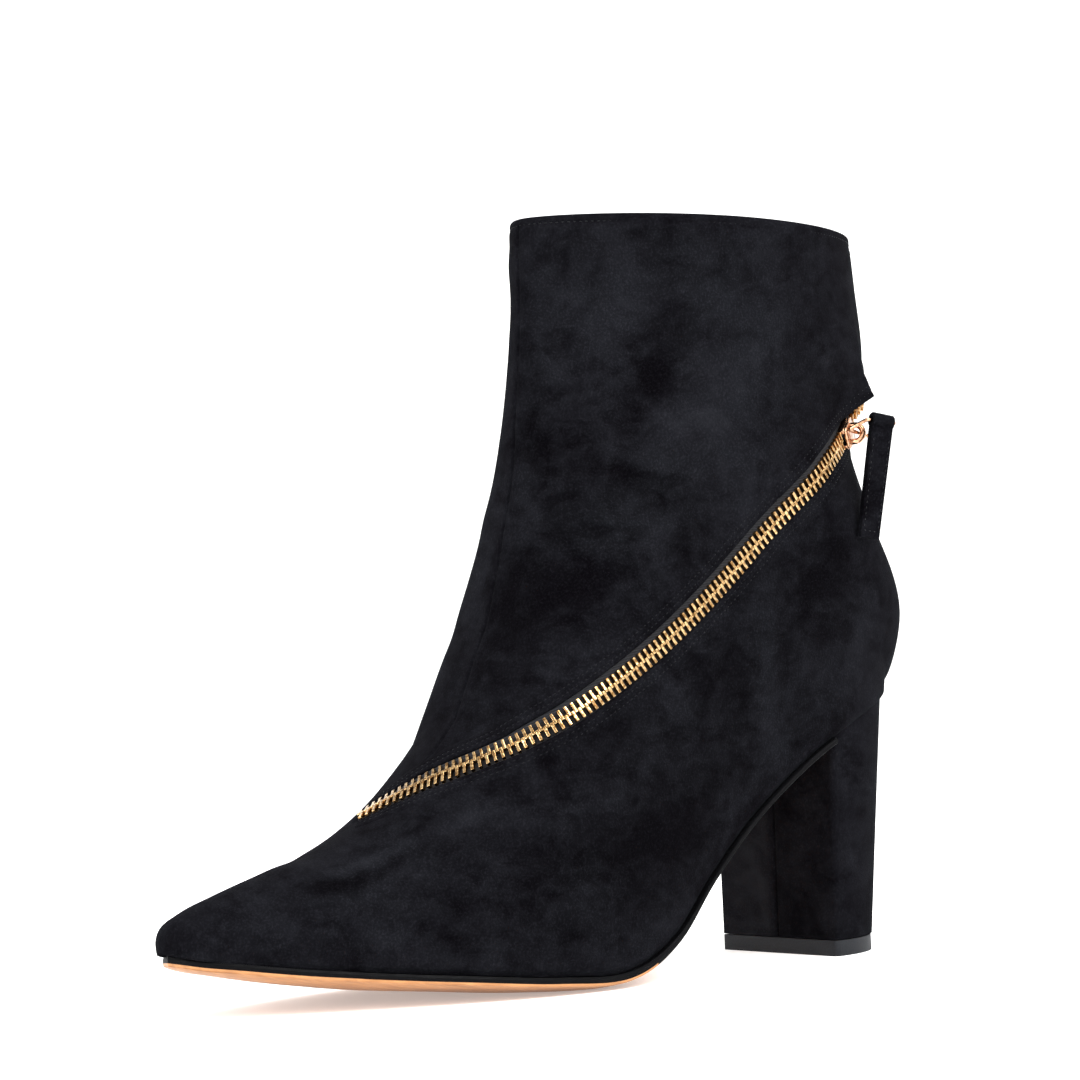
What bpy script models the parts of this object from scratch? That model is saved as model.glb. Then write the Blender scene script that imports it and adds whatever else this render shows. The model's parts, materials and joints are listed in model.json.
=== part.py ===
"""A suede ankle boot for the left foot, with a pointed toe, a block heel and a zip that runs round its outer side.

Lengths are in millimetres and MM turns them into metres. The toe points along -Y and the outer side faces +X.
The upper is one surface over the last: a station runs from the toe (0) over the ball, waist and seat to the
heel's back, and then up the back line to the collar. At each station a share of the way round runs from the
outer sole edge (0) over the ridge (1) to the inner sole edge (2).
"""
import math

import bmesh
import bpy
import numpy as np
from mathutils import Vector

MM = 0.001

# Driving sizes
LENGTH = 255.0
BALL_WIDTH = 80.5
HEEL_HEIGHT = 75.5
SHAFT_HEIGHT = 216.6
WALL = 2.4
FIT = 0.3

# Sections of the last. The places along are shares of LENGTH from the heel's back, behind which the counter bulges
# a little. The levels are 0 on the floor, 1 at the heel seat and 2 at the collar's front. Widths, and the shift of
# the middle, are shares of BALL_WIDTH.
# Each section rises from its sole point to its top point; wide_at is the share of that way where it is widest,
# and crown is how flat it stays across its top.
SECTION_COLUMNS = (
    "sole_at", "sole_level", "top_at", "top_level", "foot_out", "foot_in", "wide_out", "wide_in",
    "wide_at", "crown", "shift",
)
SECTIONS = np.array((
    (0.999, 0.242, 1.000, 0.288, 0.000, 0.000, 0.000, 0.000, 0.40, 0.40, -0.075),
    (0.992, 0.233, 0.991, 0.338, 0.058, 0.058, 0.068, 0.068, 0.40, 0.40, -0.075),
    (0.975, 0.218, 0.969, 0.379, 0.103, 0.103, 0.118, 0.118, 0.38, 0.40, -0.075),
    (0.939, 0.198, 0.923, 0.433, 0.161, 0.168, 0.180, 0.186, 0.36, 0.42, -0.068),
    (0.880, 0.166, 0.854, 0.503, 0.239, 0.255, 0.263, 0.280, 0.34, 0.45, -0.056),
    (0.799, 0.132, 0.771, 0.598, 0.338, 0.354, 0.363, 0.379, 0.32, 0.50, -0.037),
    (0.713, 0.101, 0.702, 0.740, 0.426, 0.435, 0.451, 0.460, 0.30, 0.58, -0.012),
    (0.619, 0.069, 0.652, 0.908, 0.482, 0.447, 0.509, 0.478, 0.28, 0.68, 0.000),
    (0.524, 0.061, 0.613, 1.062, 0.485, 0.404, 0.525, 0.482, 0.30, 0.78, 0.000),
    (0.446, 0.162, 0.582, 1.188, 0.440, 0.348, 0.504, 0.480, 0.33, 0.82, 0.000),
    (0.376, 0.370, 0.558, 1.315, 0.394, 0.329, 0.477, 0.462, 0.36, 0.74, 0.000),
    (0.305, 0.578, 0.541, 1.434, 0.378, 0.329, 0.460, 0.441, 0.40, 0.64, 0.000),
    (0.223, 0.765, 0.531, 1.546, 0.370, 0.348, 0.447, 0.429, 0.40, 0.56, 0.000),
    (0.133, 0.913, 0.525, 1.636, 0.345, 0.338, 0.432, 0.422, 0.42, 0.50, 0.000),
    (0.068, 0.977, 0.520, 1.707, 0.245, 0.245, 0.427, 0.422, 0.45, 0.48, 0.000),
    (0.035, 1.000, 0.517, 1.755, 0.145, 0.145, 0.430, 0.425, 0.47, 0.46, 0.000),
    (0.024, 1.006, 0.516, 1.783, 0.077, 0.077, 0.432, 0.427, 0.47, 0.44, 0.000),
    (0.018, 1.010, 0.515, 1.804, 0.000, 0.000, 0.435, 0.429, 0.48, 0.42, 0.000),
    (-0.009, 1.128, 0.514, 1.847, 0.000, 0.000, 0.440, 0.431, 0.48, 0.40, 0.000),
    (0.030, 1.330, 0.513, 1.889, 0.000, 0.000, 0.430, 0.434, 0.48, 0.38, 0.000),
    (0.060, 1.507, 0.513, 1.925, 0.000, 0.000, 0.428, 0.437, 0.48, 0.36, 0.000),
    (0.036, 1.684, 0.512, 1.955, 0.000, 0.000, 0.447, 0.442, 0.48, 0.34, 0.000),
    (0.044, 1.861, 0.511, 1.980, 0.000, 0.000, 0.453, 0.447, 0.48, 0.33, 0.000),
    (0.051, 1.968, 0.509, 2.000, 0.000, 0.000, 0.460, 0.453, 0.48, 0.32, 0.000),
))
SEAT_STATION = 13
HALVINGS = 40
MERGE = 0.02
BACK_STATION = 17
COLLAR_STATION = len(SECTIONS) - 1
SECTION_ROUND = 0.56
CURVE_SAMPLES = 201
STATION_STEPS = 2
ROUND_STEPS = 28

# Outsole: a thin edge that stands a little proud of the upper, but stays behind its tip at the toe, and an
# underside that is fuller in the middle. The fullness is cut off flat at the floor, which makes the tread.
SOLE_MARGIN = 1.3
SOLE_SET_BACK = 3.4
SET_BACK_FROM = 0.82
SOLE_EDGE = 2.2
SOLE_FULLNESS = 3.0
SOLE_FULL_POWER = 2.5
SOLE_FULL_WIDTH = 30.0
SOLE_STEPS = 36
SOLE_ACROSS = 8
SOLE_HEEL_GAP = 3 * FIT

# Insole
INSOLE_THICKNESS = 2.0
INSOLE_CLEARANCE = WALL + 1.5
INSOLE_FIRST_STATION = 1.6
INSOLE_STEPS = 26
INSOLE_ACROSS = 4

# Heel: half an ellipse behind a flat breast, leaning in from the seat to the floor
HEEL_COLUMNS = ("half_width", "breast_at", "back_at")
HEEL_ON_FLOOR = (25.8, 45.4, 16.4)
HEEL_AT_SEAT = (27.0, 44.6, 7.0)
HEEL_STEPS = 20
LIFT_HEIGHT = 4.6

# Zip: points that its middle runs through, measured outwards from the boot's middle, forwards from the heel's
# back and up from the floor. The line is then drawn onto the upper.
ZIP_COLUMNS = ("across", "along", "height")
ZIP_PATH = np.array((
    (-12.0, 187.0, 49.0),
    (4.0, 176.0, 58.0),
    (19.0, 166.0, 64.5),
    (33.0, 148.5, 74.0),
    (36.0, 122.0, 88.5),
    (35.5, 91.0, 109.5),
    (35.0, 60.0, 134.0),
    (29.5, 38.5, 149.0),
    (22.5, 27.5, 155.0),
    (15.0, 20.0, 159.0),
))
ZIP_FIRST_PLACE = (5.5, 1.08)
PLACE_STEPS = 8
PLACE_LIMIT = (0.5, 0.05)
ZIP_SAMPLES = 400
BESIDE_STEPS = 8
CHANNEL_HALF = 5.2
CHANNEL_DEPTH = 1.3
CHANNEL_CLEAR = 4.0
TAPE_HALF = 4.6
TAPE_TOP = -0.65
TAPE_THICKNESS = 0.35
CHAIN_HALF = 2.9
CHAIN_WAIST = 2.2
CHAIN_TOP = 1.1
CHAIN_THICKNESS = 1.3
CHAIN_PITCH = 2.4
ZIP_END_MARGIN = 2.0
BAND_STEPS = 60
BAND_ACROSS = 2
CHANNEL_ACROSS = 4
STEPS_PER_PAIR = 4

# Slider, its eye, and the pull that hangs in it
SLIDER_SHARE = 0.925
SLIDER_HALF_LENGTH = 4.5
SLIDER_HALF_WIDTH = 4.3
SLIDER_CHEEK = 1.0
SLIDER_FOOT = 0.0
SLIDER_INSIDE = CHAIN_TOP + FIT
SLIDER_TOP = SLIDER_INSIDE + 1.0
EYE_WIRE = 0.7
EYE_RADIUS = 2.5
EYE_SINK = 0.5
EYE_LEG = 1.6
EYE_STEPS = 10
LINK_WIRE = 0.6
LINK_HEIGHT = SLIDER_TOP + LINK_WIRE + 1.4
LINK_HALF_WIDTH = 5.4
LINK_REACH = 8.4
LINK_BAR_FRONT = 4.85
LINK_BAR_BACK = 4.4
LINK_KNEE = 3.4
LINK_CORNER = 0.8
LINK_RISE = 20.0
PULL_YAW = 14.0
PULL_TILT = 9.0
TAB_LENGTH = 35.0
TAB_HALF_WIDTH = 3.5
TAB_TWIST = 33.0
TAB_HALF_THICKNESS = 1.4
TAB_LOOP_INSIDE = LINK_WIRE + FIT
TAB_LOOP_OUTSIDE = TAB_LOOP_INSIDE + 1.4
TAB_NECK = 4.0
TAB_LOOP_START = 50.0
TAB_LEAN = 3.0
TAB_STEPS = 12

SUEDE = ((0.012, 0.012, 0.014, 1.0), 0.95, 0.0)
SOLE_TAN = ((0.55, 0.30, 0.14, 1.0), 0.5, 0.0)
LIFT_RUBBER = ((0.03, 0.03, 0.033, 1.0), 0.7, 0.0)
LINING = ((0.02, 0.02, 0.02, 1.0), 0.8, 0.0)
TAPE_BLACK = ((0.01, 0.01, 0.01, 1.0), 0.9, 0.0)
GOLD = ((0.83, 0.60, 0.30, 1.0), 0.25, 1.0)


def clear_scene():
    for thing in list(bpy.data.objects):
        bpy.data.objects.remove(thing, do_unlink=True)


def level_height(level):
    """Height of a level: 0 floor, 1 heel seat, 2 collar."""
    if level <= 1.0:
        return level * HEEL_HEIGHT
    return HEEL_HEIGHT + (level - 1.0) * (SHAFT_HEIGHT - HEEL_HEIGHT)


def row_slope(table, knots, row):
    """How a table's values change along the knots at one of its rows."""
    steps = np.diff(knots)
    changes = np.diff(table, axis=0) / steps[:, None]
    if row == 0:
        return changes[0]
    if row == len(table) - 1:
        return changes[-1]
    before = steps[row - 1]
    after = steps[row]
    return (changes[row - 1] * after + changes[row] * before) / (before + after)


def smooth_row(table, knots, at):
    """A row between the rows of a table, on a smooth curve through them. at counts rows."""
    first = min(max(int(math.floor(at)), 0), len(table) - 2)
    share = at - first
    step = knots[first + 1] - knots[first]
    cube = share ** 3
    square = share ** 2
    return (
        (2 * cube - 3 * square + 1) * table[first]
        + (cube - 2 * square + share) * step * row_slope(table, knots, first)
        + (3 * square - 2 * cube) * table[first + 1]
        + (cube - square) * step * row_slope(table, knots, first + 1)
    )


def distances(points):
    """How far along a run of points each one lies."""
    lengths = np.linalg.norm(np.diff(points, axis=0), axis=1)
    return np.concatenate(((0.0,), np.cumsum(lengths)))


def section_knots():
    """The sections' spacing, measured along the sole line and along the ridge."""
    ends = []
    for row in SECTIONS:
        size = dict(zip(SECTION_COLUMNS, row))
        sole = (size["sole_at"] * LENGTH, level_height(size["sole_level"]))
        top = (size["top_at"] * LENGTH, level_height(size["top_level"]))
        ends.append(sole + top)
    return distances(np.array(ends))


SECTION_KNOTS = section_knots()


def section_at(station):
    """The sizes of the section at a station, in millimetres, by column name."""
    size = dict(zip(SECTION_COLUMNS, smooth_row(SECTIONS, SECTION_KNOTS, station)))
    for name in ("sole_at", "top_at"):
        size[name] *= LENGTH
    for name in ("sole_level", "top_level"):
        size[name] = level_height(size[name])
    for name in ("foot_out", "foot_in", "wide_out", "wide_in"):
        size[name] = max(size[name], 0.0) * BALL_WIDTH
    if station >= BACK_STATION:
        size["foot_out"] = 0.0
        size["foot_in"] = 0.0
    size["shift"] *= BALL_WIDTH
    return size


def curve_point(corners, share):
    """A point of the cubic curve that four corners hold."""
    rest = 1.0 - share
    weights = (rest ** 3, 3 * rest ** 2 * share, 3 * rest * share ** 2, share ** 3)
    return sum(weight * np.array(corner) for weight, corner in zip(weights, corners))


def lower_corners(wide, widest):
    """Corners of a section's lower curve, from the middle of the sole out to the widest point."""
    return (
        (0.0, 0.0),
        (SECTION_ROUND * wide, 0.0),
        (wide, widest * (1 - SECTION_ROUND)),
        (wide, widest),
    )


CURVE_SHARES = np.linspace(0.0, 1.0, CURVE_SAMPLES)
CURVE_WIDTHS = [curve_point(lower_corners(1.0, 1.0), share)[0] for share in CURVE_SHARES]


def upper_point(station, around):
    """A point of the upper's outer face."""
    size = section_at(station)
    outer = around <= 1.0
    share = around if outer else 2.0 - around
    foot = size["foot_out"] if outer else size["foot_in"]
    wide = size["wide_out"] if outer else size["wide_in"]
    sole = np.array((size["sole_at"], size["sole_level"]))
    top = np.array((size["top_at"], size["top_level"]))
    tall = np.linalg.norm(top - sole)
    widest = size["wide_at"] * tall
    if share <= 0.5:
        corners = lower_corners(wide, widest)
        start = np.interp(foot / max(wide, MM), CURVE_WIDTHS, CURVE_SHARES)
        cut_off = curve_point(corners, start)[1]
        across, up = curve_point(corners, start + (1 - start) * 2 * share)
        up = (up - cut_off) * widest / (widest - cut_off)
    else:
        corners = (
            (wide, widest),
            (wide, widest + SECTION_ROUND * (tall - widest)),
            (size["crown"] * wide, tall),
            (0.0, tall),
        )
        across, up = curve_point(corners, 2 * share - 1)
    along, height = sole + (top - sole) * up / max(tall, MM)
    side = 1.0 if outer else -1.0
    return np.array((side * across + size["shift"], -along, height))


def upper_slopes(station, around, step=0.002):
    """How the upper's point moves with the station and with the way round."""
    by_station = upper_point(station + step, around) - upper_point(station - step, around)
    by_around = upper_point(station, around + step) - upper_point(station, around - step)
    return by_station / (2 * step), by_around / (2 * step)


def upper_normal(station, around):
    """The direction straight out of the upper."""
    by_station, by_around = upper_slopes(station, around)
    normal = np.cross(by_station, by_around)
    return normal / np.linalg.norm(normal)


def edge_point(station, side):
    """A point of the upper's lower edge. side is 1 on the outer side and -1 on the inner side."""
    size = section_at(station)
    foot = size["foot_out"] if side > 0 else size["foot_in"]
    return np.array((side * foot + size["shift"], -size["sole_at"], size["sole_level"]))


def set_back(along):
    """How far the sole's outline stays behind the upper's near the toe."""
    share = max(along / LENGTH - SET_BACK_FROM, 0.0) / (1.0 - SET_BACK_FROM)
    return SOLE_SET_BACK * share ** 2


def sole_line(station, side, margin, step=0.05):
    """The lower edge moved outwards in plan by a margin, and back from the toe."""
    before = edge_point(station - step, side) if station > step else edge_point(step, -side)
    last = BACK_STATION - step
    after = edge_point(station + step, side) if station < last else edge_point(last, -side)
    tangent = after - before
    outwards = side * np.array((tangent[1], -tangent[0], 0.0)) / math.hypot(tangent[0], tangent[1])
    point = edge_point(station, side) + margin * outwards
    behind = set_back(-point[1])
    if behind > 0.0:
        point[1] += behind
        point[2] = section_at(station_of(-point[1]))["sole_level"]
    return point


def station_of(along):
    """The station of the sole that lies a distance in front of the heel's back."""
    low = 0.0
    high = float(BACK_STATION)
    for _ in range(HALVINGS):
        middle = (low + high) / 2
        if section_at(middle)["sole_at"] > along:
            low = middle
        else:
            high = middle
    return low


def wrapped_grid(place, columns, rows):
    """A grid of faces whose corners are put at place(column share, row share)."""
    bm = bmesh.new()
    bmesh.ops.create_grid(bm, x_segments=columns, y_segments=rows, size=0.5)
    for vert in bm.verts:
        vert.co = Vector(place(vert.co.x + 0.5, vert.co.y + 0.5)) * MM
    return bm


def sew(bm):
    """Joins corners that lie on each other, and drops faces that have no area left."""
    bmesh.ops.remove_doubles(bm, verts=bm.verts, dist=MERGE * MM)
    bmesh.ops.dissolve_degenerate(bm, edges=bm.edges, dist=MERGE * MM)


def finish(name, bm, material, parent=None, sharp=40.0):
    """Turns a mesh into a named object with its material."""
    mesh = bpy.data.meshes.new(name)
    bm.to_mesh(mesh)
    bm.free()
    mesh.shade_smooth()
    mesh.set_sharp_from_angle(angle=math.radians(sharp))
    thing = bpy.data.objects.new(name, mesh)
    bpy.context.scene.collection.objects.link(thing)
    mesh.materials.append(material)
    thing.parent = parent
    return thing


def principled(name, finish_values):
    """A material with a colour, a roughness and a metallic value."""
    color, roughness, metallic = finish_values
    material = bpy.data.materials.new(name)
    material.use_nodes = True
    shader = material.node_tree.nodes["Principled BSDF"]
    shader.inputs["Base Color"].default_value = color
    shader.inputs["Roughness"].default_value = roughness
    shader.inputs["Metallic"].default_value = metallic
    return material


def as_cutter(thing):
    thing.hide_render = True
    thing.display_type = "WIRE"
    return thing


def add_boolean(thing, other, operation):
    step = thing.modifiers.new(other.name, "BOOLEAN")
    step.object = other
    step.operation = operation
    step.solver = "EXACT"


def add_wall(thing, thickness):
    wall = thing.modifiers.new("wall", "SOLIDIFY")
    wall.thickness = thickness * MM
    wall.offset = -1.0
    wall.use_even_offset = True
    wall.use_rim = True


def station_list():
    """Stations of the upper's rows of faces: close at the curves, single where the seat's sections crowd."""
    stations = []
    for row in range(COLLAR_STATION):
        steps = 1 if SEAT_STATION <= row < BACK_STATION else STATION_STEPS
        stations.extend(row + step / steps for step in range(steps))
    return stations + [float(COLLAR_STATION)]


def make_upper(channel):
    """The upper: one wall over the last, open at the collar and along the sole, with a channel for the zip."""
    stations = station_list()
    rows = len(stations) - 1

    def place(across, along):
        return upper_point(stations[round(along * rows)], 2 * across)

    bm = wrapped_grid(place, ROUND_STEPS, rows)
    sew(bm)
    bmesh.ops.reverse_faces(bm, faces=bm.faces)
    upper = finish("upper", bm, principled("upper_suede", SUEDE))
    add_wall(upper, WALL)
    add_boolean(upper, channel, "DIFFERENCE")
    return upper


def layer_grid(first, last, steps, margin, low, high, across):
    """A closed layer along the sole. low and high give its faces' heights from the sole's line."""
    ring = 2 * (across + 1)

    def place(round_share, along):
        station = first + (last - first) * along
        outer = sole_line(station, 1, margin)
        inner = sole_line(station, -1, margin)
        index = round(round_share * ring) % ring
        on_top = index <= across
        share = index / across if on_top else (ring - 1 - index) / across
        point = outer + (inner - outer) * share
        half = np.linalg.norm(inner - outer) / 2
        point[2] = high(point[2]) if on_top else low(point[2], 2 * share - 1, half)
        return point

    bm = wrapped_grid(place, ring, steps)
    sew(bm)
    bmesh.ops.holes_fill(bm, edges=bm.edges, sides=0)
    bmesh.ops.triangulate(bm, faces=[face for face in bm.faces if len(face.verts) > 4])
    bmesh.ops.recalc_face_normals(bm, faces=bm.faces)
    return bm


def make_outsole():
    """The outsole, from the toe to the heel's breast."""

    def top(line):
        return line - FIT

    def bottom(line, across, half):
        full = SOLE_FULLNESS * min(1.0, half / SOLE_FULL_WIDTH) * (1 - abs(across) ** SOLE_FULL_POWER)
        return max(line - FIT - SOLE_EDGE - full, 0.0)

    breast = dict(zip(HEEL_COLUMNS, HEEL_AT_SEAT))["breast_at"]
    end = station_of(breast + SOLE_HEEL_GAP)
    bm = layer_grid(0.0, end, SOLE_STEPS, SOLE_MARGIN, bottom, top, SOLE_ACROSS)
    return finish("outsole", bm, principled("outsole_tan", SOLE_TAN))


def make_insole():
    """The insole, inside the upper's lower edge from the toe to the heel's back."""

    def top(line):
        return line + FIT + INSOLE_THICKNESS

    def bottom(line, across, half):
        return line + FIT

    bm = layer_grid(
        INSOLE_FIRST_STATION, float(BACK_STATION), INSOLE_STEPS, -INSOLE_CLEARANCE, bottom, top, INSOLE_ACROSS,
    )
    return finish("insole", bm, principled("insole_lining", LINING))


def heel_ring(share):
    """Corners of the heel's outline. share is 0 on the floor and 1 at the seat."""
    sizes = [low + (high - low) * share for low, high in zip(HEEL_ON_FLOOR, HEEL_AT_SEAT)]
    size = dict(zip(HEEL_COLUMNS, sizes))
    deep = size["breast_at"] - size["back_at"]
    ring = []
    for step in range(HEEL_STEPS + 1):
        turn = math.pi * step / HEEL_STEPS
        ring.append((size["half_width"] * math.cos(turn), deep * math.sin(turn) - size["breast_at"]))
    return ring


def ring_solid(rings):
    """A closed solid through rings of equal length, each symmetric across the middle."""
    bm = bmesh.new()
    loops = [[bm.verts.new(Vector(point) * MM) for point in ring] for ring in rings]
    count = len(loops[0])
    for low, high in zip(loops, loops[1:]):
        for index in range(count):
            after = (index + 1) % count
            bm.faces.new((low[index], low[after], high[after], high[index]))
    for loop in (loops[0], loops[-1]):
        for index in range(count // 2):
            corners = (loop[index], loop[index + 1], loop[count - 2 - index], loop[count - 1 - index])
            bm.faces.new(dict.fromkeys(corners))
    bmesh.ops.recalc_face_normals(bm, faces=bm.faces)
    return bm


def make_heel():
    """The covered block, whose top follows the seat of the upper."""
    low = heel_ring(LIFT_HEIGHT / HEEL_HEIGHT)
    high = heel_ring(1.0)
    rings = [[(across, along, LIFT_HEIGHT + FIT) for across, along in low]]
    seat = []
    for across, along in high:
        seat.append((across, along, section_at(station_of(-along))["sole_level"] - FIT))
    middle = []
    for below, above in zip(rings[0], seat):
        middle.append(tuple((a + b) / 2 for a, b in zip(below, above)))
    rings.append(middle)
    rings.append(seat)
    return finish("heel_block", ring_solid(rings), principled("heel_suede", SUEDE))


def make_lift():
    """The rubber lift under the heel, flat on the floor."""
    rings = []
    for height in (0.0, LIFT_HEIGHT):
        rings.append([(across, along, height) for across, along in heel_ring(height / HEEL_HEIGHT)])
    return finish("heel_lift", ring_solid(rings), principled("lift_rubber", LIFT_RUBBER))


def nearest_place(point, guess):
    """Station and share of the way round where the upper comes closest to a point."""
    place = np.array(guess)
    for _ in range(PLACE_STEPS):
        slopes = np.column_stack(upper_slopes(*place))
        move = np.linalg.lstsq(slopes, np.array(point) - upper_point(*place), rcond=None)[0]
        place = place + np.clip(move, np.negative(PLACE_LIMIT), PLACE_LIMIT)
    return place


class ZipLine:
    """The zip's middle line over the upper, measured along its length."""

    def __init__(self):
        knots = distances(ZIP_PATH)
        place = np.array(ZIP_FIRST_PLACE)
        places = []
        for at in np.linspace(0.0, len(ZIP_PATH) - 1.0, ZIP_SAMPLES):
            point = dict(zip(ZIP_COLUMNS, smooth_row(ZIP_PATH, knots, at)))
            place = nearest_place((point["across"], -point["along"], point["height"]), place)
            places.append(place)
        self.places = np.array(places)
        self.measure = distances(np.array([upper_point(*place) for place in places]))
        self.length = self.measure[-1]

    def place(self, distance):
        """Station and share of the way round at a distance from the zip's lower end."""
        return tuple(np.interp(distance, self.measure, column) for column in self.places.T)

    def axes(self, distance, step=1.0):
        """The point, and the directions along the zip, across it and out of the upper."""
        ahead = upper_point(*self.place(min(distance + step, self.length)))
        behind = upper_point(*self.place(max(distance - step, 0.0)))
        along = (ahead - behind) / np.linalg.norm(ahead - behind)
        place = self.place(distance)
        out = upper_normal(*place)
        across = np.cross(out, along)
        return upper_point(*place), along, across / np.linalg.norm(across), out

    def beside(self, distance, offset, height):
        """A point beside the line, reached in short steps over the upper's own face, raised by a height."""
        place = np.array(self.place(distance))
        stride = self.axes(distance)[2] * offset / BESIDE_STEPS
        for _ in range(BESIDE_STEPS):
            slopes = np.column_stack(upper_slopes(*place))
            place = place + np.linalg.lstsq(slopes, stride, rcond=None)[0]
        return upper_point(*place) + height * upper_normal(*place)


def band(zip_line, first, last, steps, across_steps, half_width, top):
    """A sheet along the zip. half_width gives its half width at each step."""

    def place(along, across):
        index = round(along * steps)
        distance = first + (last - first) * index / steps
        return zip_line.beside(distance, (2 * across - 1) * half_width(index), top)

    return wrapped_grid(place, steps, across_steps)


def make_channel(zip_line):
    """The cutter of the channel that the zip lies in."""
    bm = band(
        zip_line, 0.0, zip_line.length, BAND_STEPS, CHANNEL_ACROSS,
        lambda index: CHANNEL_HALF, CHANNEL_CLEAR,
    )
    channel = finish("zip_channel", bm, principled("channel_guide", TAPE_BLACK))
    add_wall(channel, CHANNEL_CLEAR + CHANNEL_DEPTH)
    return as_cutter(channel)


def make_tape(zip_line):
    """The zip's woven tape on the channel's floor."""
    bm = band(
        zip_line, ZIP_END_MARGIN / 2, zip_line.length - ZIP_END_MARGIN / 2, BAND_STEPS, BAND_ACROSS,
        lambda index: TAPE_HALF, TAPE_TOP,
    )
    tape = finish("zip_tape", bm, principled("zip_tape_black", TAPE_BLACK))
    add_wall(tape, TAPE_THICKNESS)
    return tape


def make_chain(zip_line):
    """The closed chain of teeth: one strip whose edges step in and out at each tooth."""
    run = zip_line.length - 2 * ZIP_END_MARGIN
    teeth = round(run / CHAIN_PITCH)

    def half_width(index):
        return CHAIN_HALF if index % STEPS_PER_PAIR in (1, 2) else CHAIN_WAIST

    bm = band(
        zip_line, ZIP_END_MARGIN, ZIP_END_MARGIN + run, STEPS_PER_PAIR * (teeth // 2), BAND_ACROSS,
        half_width, CHAIN_TOP,
    )
    chain = finish("zip_chain", bm, principled("chain_gold", GOLD))
    add_wall(chain, CHAIN_THICKNESS)
    return chain


def tube(name, points, radius, cyclic):
    """A round wire along points, as a mesh object."""
    curve = bpy.data.curves.new(name, "CURVE")
    curve.dimensions = "3D"
    curve.bevel_depth = radius * MM
    curve.bevel_resolution = 2
    curve.use_fill_caps = not cyclic
    spline = curve.splines.new("POLY")
    spline.points.add(len(points) - 1)
    spline.use_cyclic_u = cyclic
    for corner, point in zip(spline.points, points):
        corner.co = (*(Vector(point) * MM), 1.0)
    guide = bpy.data.objects.new(name + "_guide", curve)
    bpy.context.scene.collection.objects.link(guide)
    bpy.context.view_layer.update()
    mesh = bpy.data.meshes.new_from_object(guide.evaluated_get(bpy.context.evaluated_depsgraph_get()))
    bpy.data.objects.remove(guide, do_unlink=True)
    bm = bmesh.new()
    bm.from_mesh(mesh)
    bmesh.ops.remove_doubles(bm, verts=bm.verts, dist=MERGE * MM)
    bmesh.ops.recalc_face_normals(bm, faces=bm.faces)
    return bm


def pull_axes(zip_line):
    """The hinge point of the pull, and its directions: along the hinge, outwards and upwards."""
    point, _, _, out = zip_line.axes(SLIDER_SHARE * zip_line.length)
    up = np.array((0.0, 0.0, 1.0))
    level_out = out - up * out[2]
    level_out /= np.linalg.norm(level_out)
    hinge = np.cross(up, level_out)
    yaw = math.radians(PULL_YAW)
    hinge = hinge * math.cos(yaw) + level_out * math.sin(yaw)
    outwards = np.cross(hinge, up)
    tilt = math.radians(PULL_TILT)
    lowered = hinge * math.cos(tilt) - up * math.sin(tilt)
    raised = up * math.cos(tilt) + hinge * math.sin(tilt)
    return point + out * LINK_HEIGHT, lowered, outwards, raised


def make_slider(zip_line):
    """The slider: a plate with cheeks beside the chain, and an eye for the pull."""
    point, along, across, out = zip_line.axes(SLIDER_SHARE * zip_line.length)
    inside = SLIDER_HALF_WIDTH - SLIDER_CHEEK
    profile = (
        (-SLIDER_HALF_WIDTH, SLIDER_FOOT),
        (-inside, SLIDER_FOOT),
        (-inside, SLIDER_INSIDE),
        (inside, SLIDER_INSIDE),
        (inside, SLIDER_FOOT),
        (SLIDER_HALF_WIDTH, SLIDER_FOOT),
        (SLIDER_HALF_WIDTH, SLIDER_TOP),
        (-SLIDER_HALF_WIDTH, SLIDER_TOP),
    )
    bm = bmesh.new()
    tail = [bm.verts.new(point - along * SLIDER_HALF_LENGTH + across * side + out * height)
            for side, height in profile]
    face = bm.faces.new(tail)
    nose = bmesh.ops.extrude_face_region(bm, geom=[face])["geom"]
    moved = [item for item in nose if isinstance(item, bmesh.types.BMVert)]
    bmesh.ops.translate(bm, verts=moved, vec=Vector(along * 2 * SLIDER_HALF_LENGTH))
    bmesh.ops.scale(bm, verts=bm.verts, vec=(MM, MM, MM))
    bmesh.ops.recalc_face_normals(bm, faces=bm.faces)
    slider = finish("zip_slider", bm, principled("slider_gold", GOLD))
    hinge = pull_axes(zip_line)[1]
    rise = np.cross(hinge, out)
    rise /= np.linalg.norm(rise)
    foot = point + out * (SLIDER_TOP - EYE_SINK)
    arch = [foot + rise * EYE_RADIUS]
    for step in range(EYE_STEPS + 1):
        turn = math.pi * step / EYE_STEPS
        lift = out * (EYE_RADIUS * math.sin(turn) + EYE_LEG)
        arch.append(foot + rise * EYE_RADIUS * math.cos(turn) + lift)
    arch.append(foot - rise * EYE_RADIUS)
    eye = finish("slider_eye", tube("slider_eye", arch, EYE_WIRE, False), principled("eye_gold", GOLD))
    as_cutter(eye)
    add_boolean(slider, eye, "UNION")
    return slider


def link_corners(hinge, reach, tab_axis, tab_out):
    """Points round the pull's link: its inner bar lies on the hinge, its outer bar carries the tab."""
    bar = reach * LINK_REACH
    back = bar + tab_axis * LINK_BAR_BACK
    corners = (
        hinge * LINK_HALF_WIDTH,
        back - tab_out * LINK_KNEE,
        back,
        bar - tab_axis * LINK_BAR_FRONT,
        -hinge * LINK_HALF_WIDTH,
    )
    points = []
    for index, corner in enumerate(corners):
        before = corners[index - 1] - corner
        after = corners[(index + 1) % len(corners)] - corner
        start = corner + before / np.linalg.norm(before) * LINK_CORNER
        end = corner + after / np.linalg.norm(after) * LINK_CORNER
        points.extend((start, (start + 2 * corner + end) / 4, end))
    return points


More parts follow.
